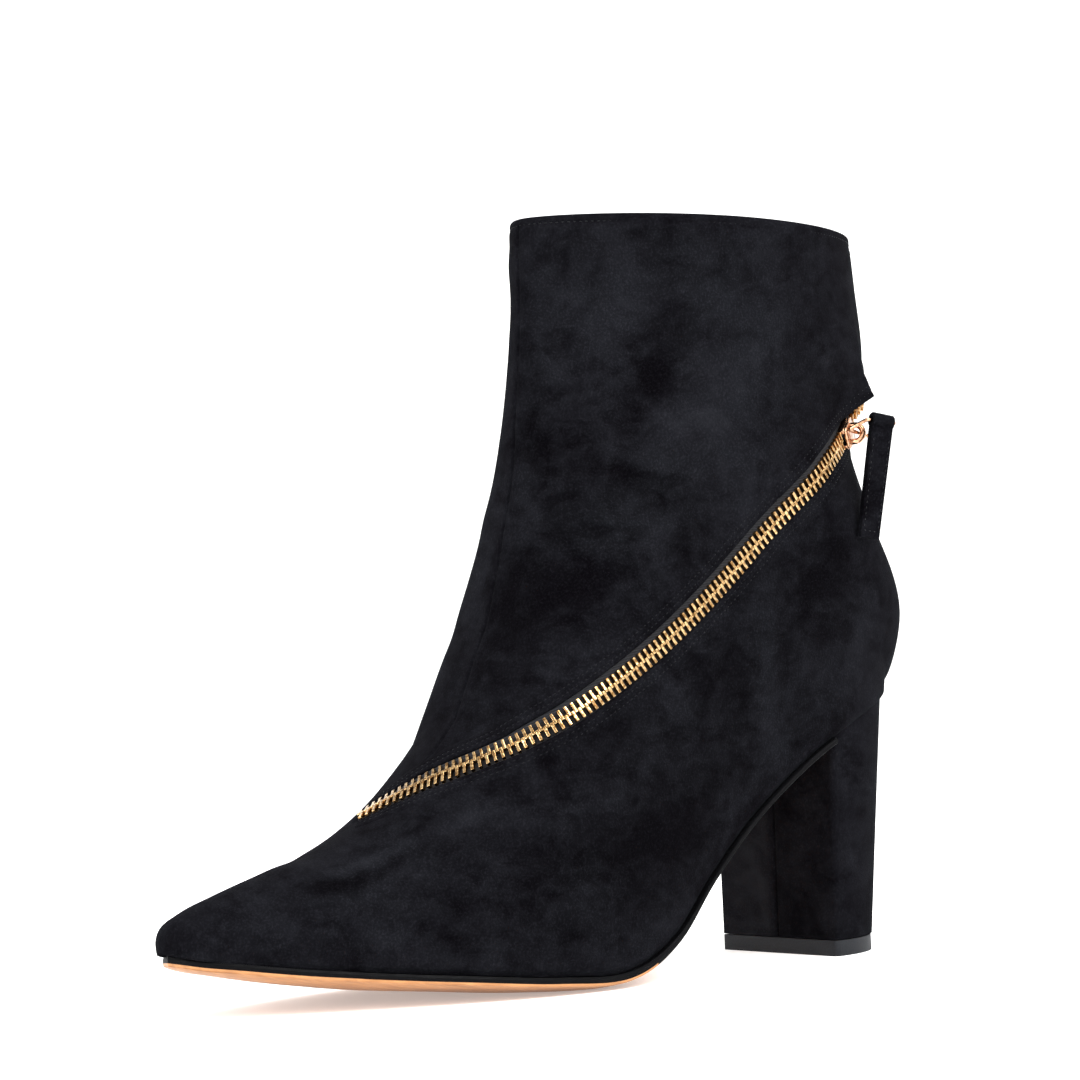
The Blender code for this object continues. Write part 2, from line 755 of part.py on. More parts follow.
def make_pull(zip_line):
    """The pull: a wire link in the slider's eye and a folded suede tab on the link's outer bar."""
    centre, hinge, outwards, up = pull_axes(zip_line)
    pivot = bpy.data.objects.new("pull_hinge", None)
    pivot.location = Vector(centre) * MM
    bpy.context.scene.collection.objects.link(pivot)
    rise = math.radians(LINK_RISE)
    reach = outwards * math.cos(rise) + up * math.sin(rise)
    twist = math.radians(TAB_TWIST)
    tab_axis = hinge * math.cos(twist) + outwards * math.sin(twist)
    tab_out = outwards * math.cos(twist) - hinge * math.sin(twist)
    wire = tube("pull_link", link_corners(hinge, reach, tab_axis, tab_out), LINK_WIRE, True)
    finish("pull_link", wire, principled("link_gold", GOLD), pivot)

    lean = math.radians(TAB_LEAN)
    down = -up * math.cos(lean) - tab_out * math.sin(lean)
    face = tab_out * math.cos(lean) - up * math.sin(lean)
    bar = reach * LINK_REACH
    outline = [(TAB_LENGTH, TAB_HALF_THICKNESS), (TAB_NECK, TAB_HALF_THICKNESS)]
    for step in range(TAB_STEPS + 1):
        turn = math.radians(TAB_LOOP_START + (360.0 - 2 * TAB_LOOP_START) * step / TAB_STEPS)
        outline.append((TAB_LOOP_OUTSIDE * math.cos(turn), TAB_LOOP_OUTSIDE * math.sin(turn)))
    outline += [(TAB_NECK, -TAB_HALF_THICKNESS), (TAB_LENGTH, -TAB_HALF_THICKNESS)]
    bm = bmesh.new()
    side = -tab_axis * TAB_HALF_WIDTH
    corners = [bm.verts.new((bar + down * low + face * deep + side) * MM) for low, deep in outline]
    sheet = bm.faces.new(corners)
    grown = bmesh.ops.extrude_face_region(bm, geom=[sheet])["geom"]
    moved = [item for item in grown if isinstance(item, bmesh.types.BMVert)]
    bmesh.ops.translate(bm, verts=moved, vec=Vector(tab_axis) * 2 * TAB_HALF_WIDTH * MM)
    bmesh.ops.recalc_face_normals(bm, faces=bm.faces)
    tab = finish("pull_tab", bm, principled("tab_suede", SUEDE), pivot)

    reach_past = tab_axis * (TAB_HALF_WIDTH + CHANNEL_CLEAR)
    hole = tube("tab_loop", (bar - reach_past, bar + reach_past), TAB_LOOP_INSIDE, False)
    loop = as_cutter(finish("tab_loop", hole, principled("loop_guide", SUEDE), pivot))
    add_boolean(tab, loop, "DIFFERENCE")


def stand_on_origin():
    """Moves the whole boot so that the middle of its box's floor is at the origin."""
    bpy.context.view_layer.update()
    graph = bpy.context.evaluated_depsgraph_get()
    corners = []
    for thing in bpy.data.objects:
        if thing.type == "MESH" and not thing.hide_render:
            solid = thing.evaluated_get(graph)
            corners.extend(solid.matrix_world @ vert.co for vert in solid.data.vertices)
    low = Vector(min(corner[axis] for corner in corners) for axis in range(3))
    high = Vector(max(corner[axis] for corner in corners) for axis in range(3))
    middle = (low + high) / 2
    for thing in bpy.data.objects:
        if thing.parent is None:
            thing.location -= Vector((middle.x, middle.y, low.z))


def main():
    clear_scene()
    zip_line = ZipLine()
    make_upper(make_channel(zip_line))
    make_outsole()
    make_insole()
    make_heel()
    make_lift()
    make_tape(zip_line)
    make_chain(zip_line)
    make_slider(zip_line)
    make_pull(zip_line)
    stand_on_origin()


main()
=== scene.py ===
# %% [markdown]
# # Dressing a suede ankle boot
# The solids of this boot are already packed: a hollow upper over a last, a sole, a block heel and a zip
# whose pull swings on a hinge. This lesson rebuilds each piece as a fine surface in the same place: suede
# with a brushed nap and painted light and shade, folded zip edges, single metal teeth, stitches, a painted
# sole edge. First the frame is loaded, and its box is kept.

# %% Load the frame
import json
import math

import bmesh
import bpy
import numpy as np
from mathutils import Matrix, Vector
from mathutils.kdtree import KDTree


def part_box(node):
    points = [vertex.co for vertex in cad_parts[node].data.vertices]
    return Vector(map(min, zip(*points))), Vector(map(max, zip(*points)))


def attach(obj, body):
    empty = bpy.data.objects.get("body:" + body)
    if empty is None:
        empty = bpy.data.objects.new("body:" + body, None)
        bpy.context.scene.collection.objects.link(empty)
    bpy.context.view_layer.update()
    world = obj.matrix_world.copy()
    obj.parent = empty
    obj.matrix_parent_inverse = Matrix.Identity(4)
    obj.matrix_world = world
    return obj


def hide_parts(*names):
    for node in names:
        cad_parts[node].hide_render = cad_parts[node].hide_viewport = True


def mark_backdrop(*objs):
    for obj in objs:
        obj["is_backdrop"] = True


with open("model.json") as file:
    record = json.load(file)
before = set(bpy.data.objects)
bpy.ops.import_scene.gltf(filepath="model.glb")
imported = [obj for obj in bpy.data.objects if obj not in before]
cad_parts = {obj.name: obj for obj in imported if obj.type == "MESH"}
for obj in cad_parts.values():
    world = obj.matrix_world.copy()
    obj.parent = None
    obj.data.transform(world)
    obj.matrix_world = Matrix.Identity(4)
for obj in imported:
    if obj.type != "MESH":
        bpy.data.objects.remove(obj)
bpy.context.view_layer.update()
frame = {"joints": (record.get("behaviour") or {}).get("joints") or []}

MM = 0.001

# %% [markdown]
# ## The last
# A shoe is drawn over a last, the wooden foot that gives it its form. Here the last is a table of sections
# from the toe over the seat to the heel's back and up to the collar. A surface could be sculpted, but
# sections in shares of a few driving sizes stay exact, and the same table makes the upper, the sole and the
# line of the zip. Lengths are in millimetres: across to the outer side, along from the heel's back (as
# minus Y) and up.

# %% Driving sizes and sections
LENGTH = 255.0
BALL_WIDTH = 80.5
HEEL_HEIGHT = 75.5
SHAFT_HEIGHT = 216.6
WALL = 2.4
FIT = 0.3
SECTION_COLUMNS = (
    "sole_at", "sole_level", "top_at", "top_level", "foot_out", "foot_in", "wide_out", "wide_in",
    "wide_at", "crown", "shift",
)
SECTIONS = np.array((
    (0.999, 0.242, 1.000, 0.288, 0.000, 0.000, 0.000, 0.000, 0.40, 0.40, -0.075),
    (0.992, 0.233, 0.991, 0.338, 0.058, 0.058, 0.068, 0.068, 0.40, 0.40, -0.075),
    (0.975, 0.218, 0.969, 0.379, 0.103, 0.103, 0.118, 0.118, 0.38, 0.40, -0.075),
    (0.939, 0.198, 0.923, 0.433, 0.161, 0.168, 0.180, 0.186, 0.36, 0.42, -0.068),
    (0.880, 0.166, 0.854, 0.503, 0.239, 0.255, 0.263, 0.280, 0.34, 0.45, -0.056),
    (0.799, 0.132, 0.771, 0.598, 0.338, 0.354, 0.363, 0.379, 0.32, 0.50, -0.037),
    (0.713, 0.101, 0.702, 0.740, 0.426, 0.435, 0.451, 0.460, 0.30, 0.58, -0.012),
    (0.619, 0.069, 0.652, 0.908, 0.482, 0.447, 0.509, 0.478, 0.28, 0.68, 0.000),
    (0.524, 0.061, 0.613, 1.062, 0.485, 0.404, 0.525, 0.482, 0.30, 0.78, 0.000),
    (0.446, 0.162, 0.582, 1.188, 0.440, 0.348, 0.504, 0.480, 0.33, 0.82, 0.000),
    (0.376, 0.370, 0.558, 1.315, 0.394, 0.329, 0.477, 0.462, 0.36, 0.74, 0.000),
    (0.305, 0.578, 0.541, 1.434, 0.378, 0.329, 0.460, 0.441, 0.40, 0.64, 0.000),
    (0.223, 0.765, 0.531, 1.546, 0.370, 0.348, 0.447, 0.429, 0.40, 0.56, 0.000),
    (0.133, 0.913, 0.525, 1.636, 0.345, 0.338, 0.432, 0.422, 0.42, 0.50, 0.000),
    (0.068, 0.977, 0.520, 1.707, 0.245, 0.245, 0.427, 0.422, 0.45, 0.48, 0.000),
    (0.035, 1.000, 0.517, 1.755, 0.145, 0.145, 0.430, 0.425, 0.47, 0.46, 0.000),
    (0.024, 1.006, 0.516, 1.783, 0.077, 0.077, 0.432, 0.427, 0.47, 0.44, 0.000),
    (0.018, 1.010, 0.515, 1.804, 0.000, 0.000, 0.435, 0.429, 0.48, 0.42, 0.000),
    (-0.009, 1.128, 0.514, 1.847, 0.000, 0.000, 0.440, 0.431, 0.48, 0.40, 0.000),
    (0.030, 1.330, 0.513, 1.889, 0.000, 0.000, 0.430, 0.434, 0.48, 0.38, 0.000),
    (0.060, 1.507, 0.513, 1.925, 0.000, 0.000, 0.428, 0.437, 0.48, 0.36, 0.000),
    (0.036, 1.684, 0.512, 1.955, 0.000, 0.000, 0.447, 0.442, 0.48, 0.34, 0.000),
    (0.044, 1.861, 0.511, 1.980, 0.000, 0.000, 0.453, 0.447, 0.48, 0.33, 0.000),
    (0.051, 1.968, 0.509, 2.000, 0.000, 0.000, 0.460, 0.453, 0.48, 0.32, 0.000),
))
BACK_STATION = 17
COLLAR_STATION = len(SECTIONS) - 1
SECTION_ROUND = 0.56
print(len(SECTIONS), "sections from the toe to the collar")

# %% Where the last stands in the frame
HEEL_COLUMNS = ("half_width", "breast_at", "back_at")
HEEL_ON_FLOOR = dict(zip(HEEL_COLUMNS, (25.8, 45.4, 16.4)))
HEEL_AT_SEAT = dict(zip(HEEL_COLUMNS, (27.0, 44.6, 7.0)))
LIFT_HEIGHT = 4.6
lift_low, lift_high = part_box("heel_lift")
STANDS_AT = np.array((
    (lift_low.x + lift_high.x) / 2 / MM,
    lift_low.y / MM + HEEL_ON_FLOOR["breast_at"],
    0.0,
))


def to_frame(points):
    """Points of the boot's own millimetres as metres of the frame."""
    return (np.asarray(points) + STANDS_AT) * MM


print("the heel's back stands at", STANDS_AT.round(2), "mm")


# %% Smooth curves through the sections
def distances(points):
    """How far along a run of points each one lies."""
    lengths = np.linalg.norm(np.diff(points, axis=0), axis=1)
    return np.concatenate(((0.0,), np.cumsum(lengths)))


def smooth_rows(table, knots, at):
    """Rows between the rows of a table, on a smooth curve through them. at counts rows."""
    at = np.asarray(at, float)
    steps = np.diff(knots)[:, None]
    changes = np.diff(table, axis=0) / steps
    inner = (changes[:-1] * steps[1:] + changes[1:] * steps[:-1]) / (steps[:-1] + steps[1:])
    slopes = np.vstack((changes[:1], inner, changes[-1:]))
    first = np.clip(np.floor(at).astype(int), 0, len(table) - 2)
    share = (at - first)[:, None]
    step = steps[first]
    cube = share ** 3
    square = share ** 2
    return (
        (2 * cube - 3 * square + 1) * table[first]
        + (cube - 2 * square + share) * step * slopes[first]
        + (3 * square - 2 * cube) * table[first + 1]
        + (cube - square) * step * slopes[first + 1]
    )


def level_height(level):
    """Height of a level: 0 floor, 1 heel seat, 2 collar."""
    low = level * HEEL_HEIGHT
    return np.where(level <= 1.0, low, HEEL_HEIGHT + (level - 1.0) * (SHAFT_HEIGHT - HEEL_HEIGHT))


def curve(first, second, third, last, share):
    """The cubic curve that four corner values hold."""
    rest = 1.0 - share
    start = rest ** 3 * first + 3 * rest ** 2 * share * second
    return start + 3 * rest * share ** 2 * third + share ** 3 * last


SECTION_KNOTS = distances(np.column_stack((
    SECTIONS[:, 0] * LENGTH,
    level_height(SECTIONS[:, 1]),
    SECTIONS[:, 2] * LENGTH,
    level_height(SECTIONS[:, 3]),
)))
CURVE_SHARES = np.linspace(0.0, 1.0, 201)
CURVE_WIDTHS = curve(0.0, SECTION_ROUND, 1.0, 1.0, CURVE_SHARES)
print("the sections span", SECTION_KNOTS[-1].round(1), "mm")


# %% Points and normals of the last
def section_sizes(station):
    """Sizes of the sections at stations, in millimetres, by column name."""
    size = dict(zip(SECTION_COLUMNS, smooth_rows(SECTIONS, SECTION_KNOTS, station).T))
    for name in ("sole_at", "top_at"):
        size[name] = size[name] * LENGTH
    for name in ("sole_level", "top_level"):
        size[name] = level_height(size[name])
    for name in ("foot_out", "foot_in", "wide_out", "wide_in"):
        size[name] = np.maximum(size[name], 0.0) * BALL_WIDTH
    for name in ("foot_out", "foot_in"):
        size[name] = np.where(station >= BACK_STATION, 0.0, size[name])
    size["shift"] = size["shift"] * BALL_WIDTH
    return size


def last_points(station, around):
    """Points of the last's face. around runs from the outer edge (0) over the ridge (1) to the inner (2)."""
    station, around = np.broadcast_arrays(np.clip(station, 0.0, COLLAR_STATION), around)
    shape = station.shape
    station = station.ravel()
    around = around.ravel()
    size = section_sizes(station)
    outer = around <= 1.0
    share = np.where(outer, around, 2.0 - around)
    foot = np.where(outer, size["foot_out"], size["foot_in"])
    wide = np.where(outer, size["wide_out"], size["wide_in"])
    rise_along = size["top_at"] - size["sole_at"]
    rise_up = size["top_level"] - size["sole_level"]
    tall = np.maximum(np.hypot(rise_along, rise_up), MM)
    widest = size["wide_at"] * tall
    bend = widest * (1 - SECTION_ROUND)
    start = np.interp(foot / np.maximum(wide, MM), CURVE_WIDTHS, CURVE_SHARES)
    low_share = start + (1 - start) * 2 * share
    cut_off = curve(0.0, 0.0, bend, widest, start)
    low_up = (curve(0.0, 0.0, bend, widest, low_share) - cut_off) * widest / np.maximum(widest - cut_off, MM)
    low_across = curve(0.0, SECTION_ROUND * wide, wide, wide, low_share)
    high_share = 2 * share - 1
    high_up = curve(widest, widest + SECTION_ROUND * (tall - widest), tall, tall, high_share)
    high_across = curve(wide, wide, size["crown"] * wide, 0.0, high_share)
    low = share <= 0.5
    up = np.where(low, low_up, high_up) / tall
    across = np.where(outer, 1.0, -1.0) * np.where(low, low_across, high_across) + size["shift"]
    along = size["sole_at"] + rise_along * up
    height = size["sole_level"] + rise_up * up
    return np.stack((across, -along, height), axis=-1).reshape(*shape, 3)


SLOPE_STEP = 0.002
FIRST_SLOPE = 0.06


def unit(vectors):
    """Vectors at length 1."""
    return vectors / np.maximum(np.linalg.norm(vectors, axis=-1, keepdims=True), 1e-9)


def last_slopes(station, around):
    """How a point of the last moves with the station and with the way round."""
    station = np.clip(station, FIRST_SLOPE, COLLAR_STATION - SLOPE_STEP)
    by_station = last_points(station + SLOPE_STEP, around) - last_points(station - SLOPE_STEP, around)
    by_around = last_points(station, around + SLOPE_STEP) - last_points(station, around - SLOPE_STEP)
    return by_station / (2 * SLOPE_STEP), by_around / (2 * SLOPE_STEP)


def last_normals(station, around):
    """Directions straight out of the last."""
    by_station, by_around = last_slopes(station, around)
    return unit(np.cross(by_station, by_around))


toe = last_points(np.array([0.0]), np.array([1.0]))[0]
print("the toe reaches", -toe[1].round(1), "mm from the heel's back")

# %% [markdown]
# ## Camera
# The picture is taken from the boot's outer front corner, a little below half its height, with a long lens
# that keeps the shaft upright. The camera could be placed by eye. Here its place is written in the boot's
# own sizes: a turn from the side view towards the toe, a distance, a height, the point it looks at and a
# small roll.

# %% Camera
CAMERA_TURN = math.radians(37.39)
CAMERA_ROLL = math.radians(-2.655)
CAMERA_DISTANCE = 981.0
CAMERA_HEIGHT = 94.0
CAMERA_AIM = np.array((0.0, -127.6, 124.65))
LENS_PER_DISTANCE = 3.517
PHOTO_SIDE = 1080
SENSOR = 36.0


def make_camera():
    """The camera, from its place, its aim and its roll."""
    eye = CAMERA_AIM + CAMERA_DISTANCE * np.array((math.cos(CAMERA_TURN), -math.sin(CAMERA_TURN), 0.0))
    eye[2] = CAMERA_HEIGHT
    forward = unit(CAMERA_AIM - eye)
    level_right = unit(np.cross(forward, (0.0, 0.0, 1.0)))
    level_up = np.cross(level_right, forward)
    right = math.cos(CAMERA_ROLL) * level_right + math.sin(CAMERA_ROLL) * level_up
    up = math.cos(CAMERA_ROLL) * level_up - math.sin(CAMERA_ROLL) * level_right
    lens = bpy.data.cameras.new("camera")
    lens.sensor_width = SENSOR
    lens.lens = LENS_PER_DISTANCE * CAMERA_DISTANCE / PHOTO_SIDE * SENSOR
    camera = bpy.data.objects.new("camera", lens)
    turn = Matrix((right, up, -forward)).transposed().to_4x4()
    camera.matrix_world = Matrix.Translation(Vector(to_frame(eye))) @ turn
    bpy.context.scene.collection.objects.link(camera)
    bpy.context.scene.camera = camera
    return camera


camera = make_camera()
print("camera at", [round(value, 3) for value in camera.location], "lens", round(camera.data.lens, 1), "mm")

# %% [markdown]
# ## Studio
# A catalogue picture has no corner behind the product: paper runs from the floor up the wall in one sweep.
# A plane and a white world would show a horizon, so a profile is spun into a shallow bowl that works from
# every side. Large soft lamps stand outside the picture, the main one on the camera's right and high.

# %% Paper sweep
FLOOR_RADIUS = 1.9
SWEEP_RADIUS = 0.8
WALL_HEIGHT = 1.5
SWEEP_STEPS = 10
SPIN_STEPS = 64
PAPER_GLOW = 0.3


def make_floor():
    """The paper sweep: a profile from the middle of the floor up the wall, spun round."""
    bm = bmesh.new()
    profile = [(0.0, 0.0), (FLOOR_RADIUS, 0.0)]
    for step in range(1, SWEEP_STEPS + 1):
        turn = math.pi / 2 * step / SWEEP_STEPS
        profile.append((FLOOR_RADIUS + SWEEP_RADIUS * math.sin(turn), SWEEP_RADIUS * (1 - math.cos(turn))))
    profile.append((FLOOR_RADIUS + SWEEP_RADIUS, WALL_HEIGHT))
    corners = [bm.verts.new((radius, 0.0, height)) for radius, height in profile]
    edges = [bm.edges.new(pair) for pair in zip(corners, corners[1:])]
    bmesh.ops.spin(
        bm, geom=corners + edges, cent=(0, 0, 0), axis=(0, 0, 1), dvec=(0, 0, 0), angle=2 * math.pi,
        steps=SPIN_STEPS, use_merge=True,
    )
    bmesh.ops.remove_doubles(bm, verts=bm.verts, dist=1e-5)
    bmesh.ops.recalc_face_normals(bm, faces=bm.faces)
    bmesh.ops.reverse_faces(bm, faces=bm.faces)
    mesh = bpy.data.meshes.new("paper_sweep")
    bm.to_mesh(mesh)
    bm.free()
    mesh.shade_smooth()
    floor = bpy.data.objects.new("paper_sweep", mesh)
    bpy.context.scene.collection.objects.link(floor)
    paper = bpy.data.materials.new("white_paper")
    paper.use_nodes = True
    shader = paper.node_tree.nodes["Principled BSDF"]
    shader.inputs["Base Color"].default_value = (0.92, 0.92, 0.92, 1.0)
    shader.inputs["Roughness"].default_value = 0.9
    shader.inputs["Specular IOR Level"].default_value = 0.1
    shader.inputs["Emission Color"].default_value = (1.0, 1.0, 1.0, 1.0)
    shader.inputs["Emission Strength"].default_value = PAPER_GLOW
    mesh.materials.append(paper)
    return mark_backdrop(floor)


make_floor()
print("paper sweep of", FLOOR_RADIUS + SWEEP_RADIUS, "m")

# %% Lamps and world
LAMP_COLUMNS = ("name", "azimuth", "elevation", "distance", "size", "watts")
LAMPS = (
    ("key", 95.0, 42.0, 1.45, 0.9, 26.0),
    ("front", 5.0, 16.0, 1.5, 0.8, 14.0),
    ("top", 60.0, 86.0, 1.4, 1.1, 14.0),
    ("back", 215.0, 35.0, 1.5, 0.8, 8.0),
)
WORLD_STRENGTH = 0.85


def make_lamps():
    """Soft square lamps that look at the boot's middle."""
    aim = Vector((0.0, 0.0, SHAFT_HEIGHT * MM / 2))
    for row in LAMPS:
        lamp = dict(zip(LAMP_COLUMNS, row))
        azimuth = math.radians(lamp["azimuth"])
        elevation = math.radians(lamp["elevation"])
        level = math.cos(elevation)
        away = Vector((math.sin(azimuth) * level, -math.cos(azimuth) * level, math.sin(elevation)))
        light = bpy.data.lights.new(lamp["name"], "AREA")
        light.energy = lamp["watts"]
        light.size = lamp["size"]
        thing = bpy.data.objects.new(lamp["name"] + "_lamp", light)
        thing.location = aim + away * lamp["distance"]
        thing.rotation_euler = away.to_track_quat("Z", "Y").to_euler()
        bpy.context.scene.collection.objects.link(thing)


def make_world():
    """Even white light from all round."""
    world = bpy.data.worlds.new("studio")
    world.use_nodes = True
    background = world.node_tree.nodes["Background"]
    background.inputs["Color"].default_value = (1.0, 1.0, 1.0, 1.0)
    background.inputs["Strength"].default_value = WORLD_STRENGTH
    bpy.context.scene.world = world


make_lamps()
make_world()
bpy.context.scene.view_settings.view_transform = "Standard"
print("studio with", len(LAMPS), "lamps")

# %% [markdown]
# ## Helpers for finishes
# Each finish is a Principled shader fed by a few procedural textures on Object coordinates, so a pattern
# moves with its piece. Small functions keep the node trees short and readable.


# %% Materials and noise
def new_finish(name, color, roughness, **values):
    """A material with constant values on its shader. Returns the material and its node tree's parts."""
    material = bpy.data.materials.new(name)
    material.use_nodes = True
    shader = material.node_tree.nodes["Principled BSDF"]
    shader.inputs["Base Color"].default_value = (*color, 1.0)
    shader.inputs["Roughness"].default_value = roughness
    for socket, value in values.items():
        shader.inputs[socket.replace("_", " ")].default_value = value
    return material, material.node_tree, shader


def object_places(tree, stretch=(1.0, 1.0, 1.0), turn=(0.0, 0.0, 0.0)):
    """Object coordinates, turned and stretched."""
    source = tree.nodes.new("ShaderNodeTexCoord")
    mapping = tree.nodes.new("ShaderNodeMapping")
    mapping.inputs["Scale"].default_value = stretch
    mapping.inputs["Rotation"].default_value = turn
    tree.links.new(source.outputs["Object"], mapping.inputs["Vector"])
    return mapping.outputs["Vector"]


def noise(tree, places, size_mm, detail=2.0, roughness=0.5, distortion=0.0):
    """Cloudy noise whose clouds are about a size across."""
    texture = tree.nodes.new("ShaderNodeTexNoise")
    texture.inputs["Scale"].default_value = 1.0 / (size_mm * MM)
    texture.inputs["Detail"].default_value = detail
    texture.inputs["Roughness"].default_value = roughness
    texture.inputs["Distortion"].default_value = distortion
    tree.links.new(places, texture.inputs["Vector"])
    return texture.outputs["Fac"]


print("noise helpers ready")


# %% Mixing helpers
def spread(tree, value, low, high, to_low=0.0, to_high=1.0):
    """A value stretched from one range to another, with soft ends."""
    node = tree.nodes.new("ShaderNodeMapRange")
    node.interpolation_type = "SMOOTHSTEP"
    for name, number in (("From Min", low), ("From Max", high), ("To Min", to_low), ("To Max", to_high)):
        node.inputs[name].default_value = number
    tree.links.new(value, node.inputs["Value"])
    return node.outputs["Result"]


def combine(tree, operation, first, second):
    """Two values, or a value and a number, joined by one operation."""
    node = tree.nodes.new("ShaderNodeMath")
    node.operation = operation
    for socket, item in zip(node.inputs, (first, second)):
        if isinstance(item, (int, float)):
            socket.default_value = item
        else:
            tree.links.new(item, socket)
    return node.outputs["Value"]


def mix_colors(tree, factor, first, second):
    """A colour between two colours."""
    node = tree.nodes.new("ShaderNodeMix")
    node.data_type = "RGBA"
    tree.links.new(factor, node.inputs["Factor"])
    for socket, item in zip((node.inputs[6], node.inputs[7]), (first, second)):
        if isinstance(item, tuple):
            socket.default_value = (*item, 1.0)
        else:
            tree.links.new(item, socket)
    return node.outputs[2]


def bump(tree, shader, height, depth_mm, strength=1.0):
    """Small relief on the shader's normal."""
    node = tree.nodes.new("ShaderNodeBump")
    node.inputs["Distance"].default_value = depth_mm * MM
    node.inputs["Strength"].default_value = strength
    tree.links.new(height, node.inputs["Height"])
    tree.links.new(node.outputs["Normal"], shader.inputs["Normal"])


print("mixing helpers ready")

# %% [markdown]
# ## Finishes
# Suede is leather brushed on its flesh side. Its fibres lean in patches, so it looks cloudy: where they
# lean to the light it is paler. A glossy shader would look like plastic; here the colour drifts between two
# near-blacks, a fine grain of fibres roughens it, and a little sheen lifts the edges. The drift also carries
# painted light and shade: listed patches on the upper are lighter or darker, partly as nap and partly as
# painted light, and the inner half of the heel's breast is painted lighter.

# %% Suede
SUEDE_DARK = (0.0009, 0.0007, 0.0011)
SUEDE_LIGHT = (0.0054, 0.0056, 0.0070)
SUEDE_BRIGHT = (0.0115, 0.0122, 0.0145)
FIBRE_DARK = (0.0045, 0.0043, 0.0054)
FIBRE_LIGHT = (0.0145, 0.0147, 0.018)
COVER_LEAN = -0.03
CLOUD_SHARE = 0.6
STROKE_SHARE = 0.4
LEAN_RANGE = (0.25, 0.75)
BRIGHT_RANGE = (0.66, 1.0)
FIBRE_SIZE = 0.62


def make_suede(name, reads_nap_and_light=True):
    """Near-black suede: brushed clouds, flecks, fibre grain, and a stored tone of nap with painted light."""
    material, tree, shader = new_finish(
        name, SUEDE_DARK, 1.0, Specular_IOR_Level=0.01, Sheen_Weight=0.005, Sheen_Roughness=0.5,
        Sheen_Tint=(0.8, 0.85, 1.0, 1.0),
    )
    clouds = noise(tree, object_places(tree), 22.0, detail=4.0, roughness=0.6, distortion=1.2)
    strokes = noise(tree, object_places(tree, (1.0, 1.0, 1.6), (0.5, 0.2, 0.0)), 9.0, distortion=1.0)
    broad = combine(tree, "MULTIPLY", clouds, CLOUD_SHARE)
    narrow = combine(tree, "MULTIPLY", strokes, STROKE_SHARE)
    lean = combine(tree, "ADD", broad, narrow)
    if reads_nap_and_light:
        # Stored tone: nap marks and painted light and shade, such as the heel breast's lighter inner half.
        nap_and_light_node = tree.nodes.new("ShaderNodeAttribute")
        nap_and_light_node.attribute_name = "nap_and_light"
        lean = combine(tree, "ADD", lean, nap_and_light_node.outputs["Fac"])
    else:
        lean = combine(tree, "ADD", lean, COVER_LEAN)
    base = mix_colors(tree, spread(tree, lean, *LEAN_RANGE), SUEDE_DARK, SUEDE_LIGHT)
    base = mix_colors(tree, spread(tree, lean, *BRIGHT_RANGE), base, SUEDE_BRIGHT)
    fibres = noise(tree, object_places(tree), FIBRE_SIZE, detail=4.0, roughness=0.7)
    flecks = spread(tree, fibres, 0.45, 0.75, to_high=0.8)
    tips = mix_colors(tree, spread(tree, lean, *LEAN_RANGE), FIBRE_DARK, FIBRE_LIGHT)
    tree.links.new(mix_colors(tree, flecks, base, tips), shader.inputs["Base Color"])
    bump(tree, shader, fibres, depth_mm=0.18, strength=0.7)
    return material


SUEDE = make_suede("suede_nap_and_painted_light")
PLAIN_SUEDE = make_suede("cover_suede", reads_nap_and_light=False)
print("suede made")

# %% [markdown]
# The sole's edge is inked and polished, its underside is tan leather. The lift is dull rubber, the lining a
# smooth black leather, the zip's metal a pale gold with a rosier slider, and the thread a waxed black that
# glints.

# %% Sole, lift and lining
TAN = (0.41, 0.186, 0.066)
TAN_DARK = (0.30, 0.128, 0.042)
LINING_GRAIN = 1.1


def make_tan():
    """Tan sole leather with faint lengthwise streaks."""
    material, tree, shader = new_finish("tan_sole", TAN, 0.42, Specular_IOR_Level=0.4)
    streaks = noise(tree, object_places(tree, (1.0, 0.12, 1.0)), 2.2, detail=3.0)
    color = mix_colors(tree, spread(tree, streaks, 0.35, 0.7), TAN, TAN_DARK)
    tree.links.new(color, shader.inputs["Base Color"])
    bump(tree, shader, noise(tree, object_places(tree), 0.7), depth_mm=0.04)
    return material


def make_edge_ink():
    """Polished black ink on the sole's edge."""
    material, tree, shader = new_finish(
        "edge_ink", (0.002, 0.002, 0.0024), 0.45, Specular_IOR_Level=0.045,
    )
    wear = noise(tree, object_places(tree, (1.0, 0.3, 2.0)), 1.6, detail=3.0)
    tree.links.new(spread(tree, wear, 0.3, 0.7, to_low=0.38, to_high=0.6), shader.inputs["Roughness"])
    bump(tree, shader, wear, depth_mm=0.05)
    return material


def make_rubber():
    """Dark grey moulded rubber."""
    material, tree, shader = new_finish("lift_rubber", (0.007, 0.008, 0.010), 0.62, Specular_IOR_Level=0.2)
    grain = noise(tree, object_places(tree), 0.5, detail=3.0)
    color = mix_colors(tree, spread(tree, grain, 0.4, 0.7), (0.004, 0.005, 0.007), (0.009, 0.010, 0.013))
    tree.links.new(color, shader.inputs["Base Color"])
    bump(tree, shader, grain, depth_mm=0.05)
    return material


def make_lining():
    """Smooth black lining leather with a fine grain."""
    material, tree, shader = new_finish("black_lining", (0.012, 0.012, 0.013), 0.55, Specular_IOR_Level=0.3)
    cells = tree.nodes.new("ShaderNodeTexVoronoi")
    cells.inputs["Scale"].default_value = 1.0 / (LINING_GRAIN * MM)
    tree.links.new(object_places(tree), cells.inputs["Vector"])
    bump(tree, shader, cells.outputs["Distance"], depth_mm=0.12, strength=0.6)
    dulled = spread(tree, noise(tree, object_places(tree), 9.0), 0.3, 0.7, to_low=0.45, to_high=0.65)
    tree.links.new(dulled, shader.inputs["Roughness"])
    return material


TAN_SOLE = make_tan()
EDGE_INK = make_edge_ink()
RUBBER = make_rubber()
LINING = make_lining()
print("sole and lining finishes made")


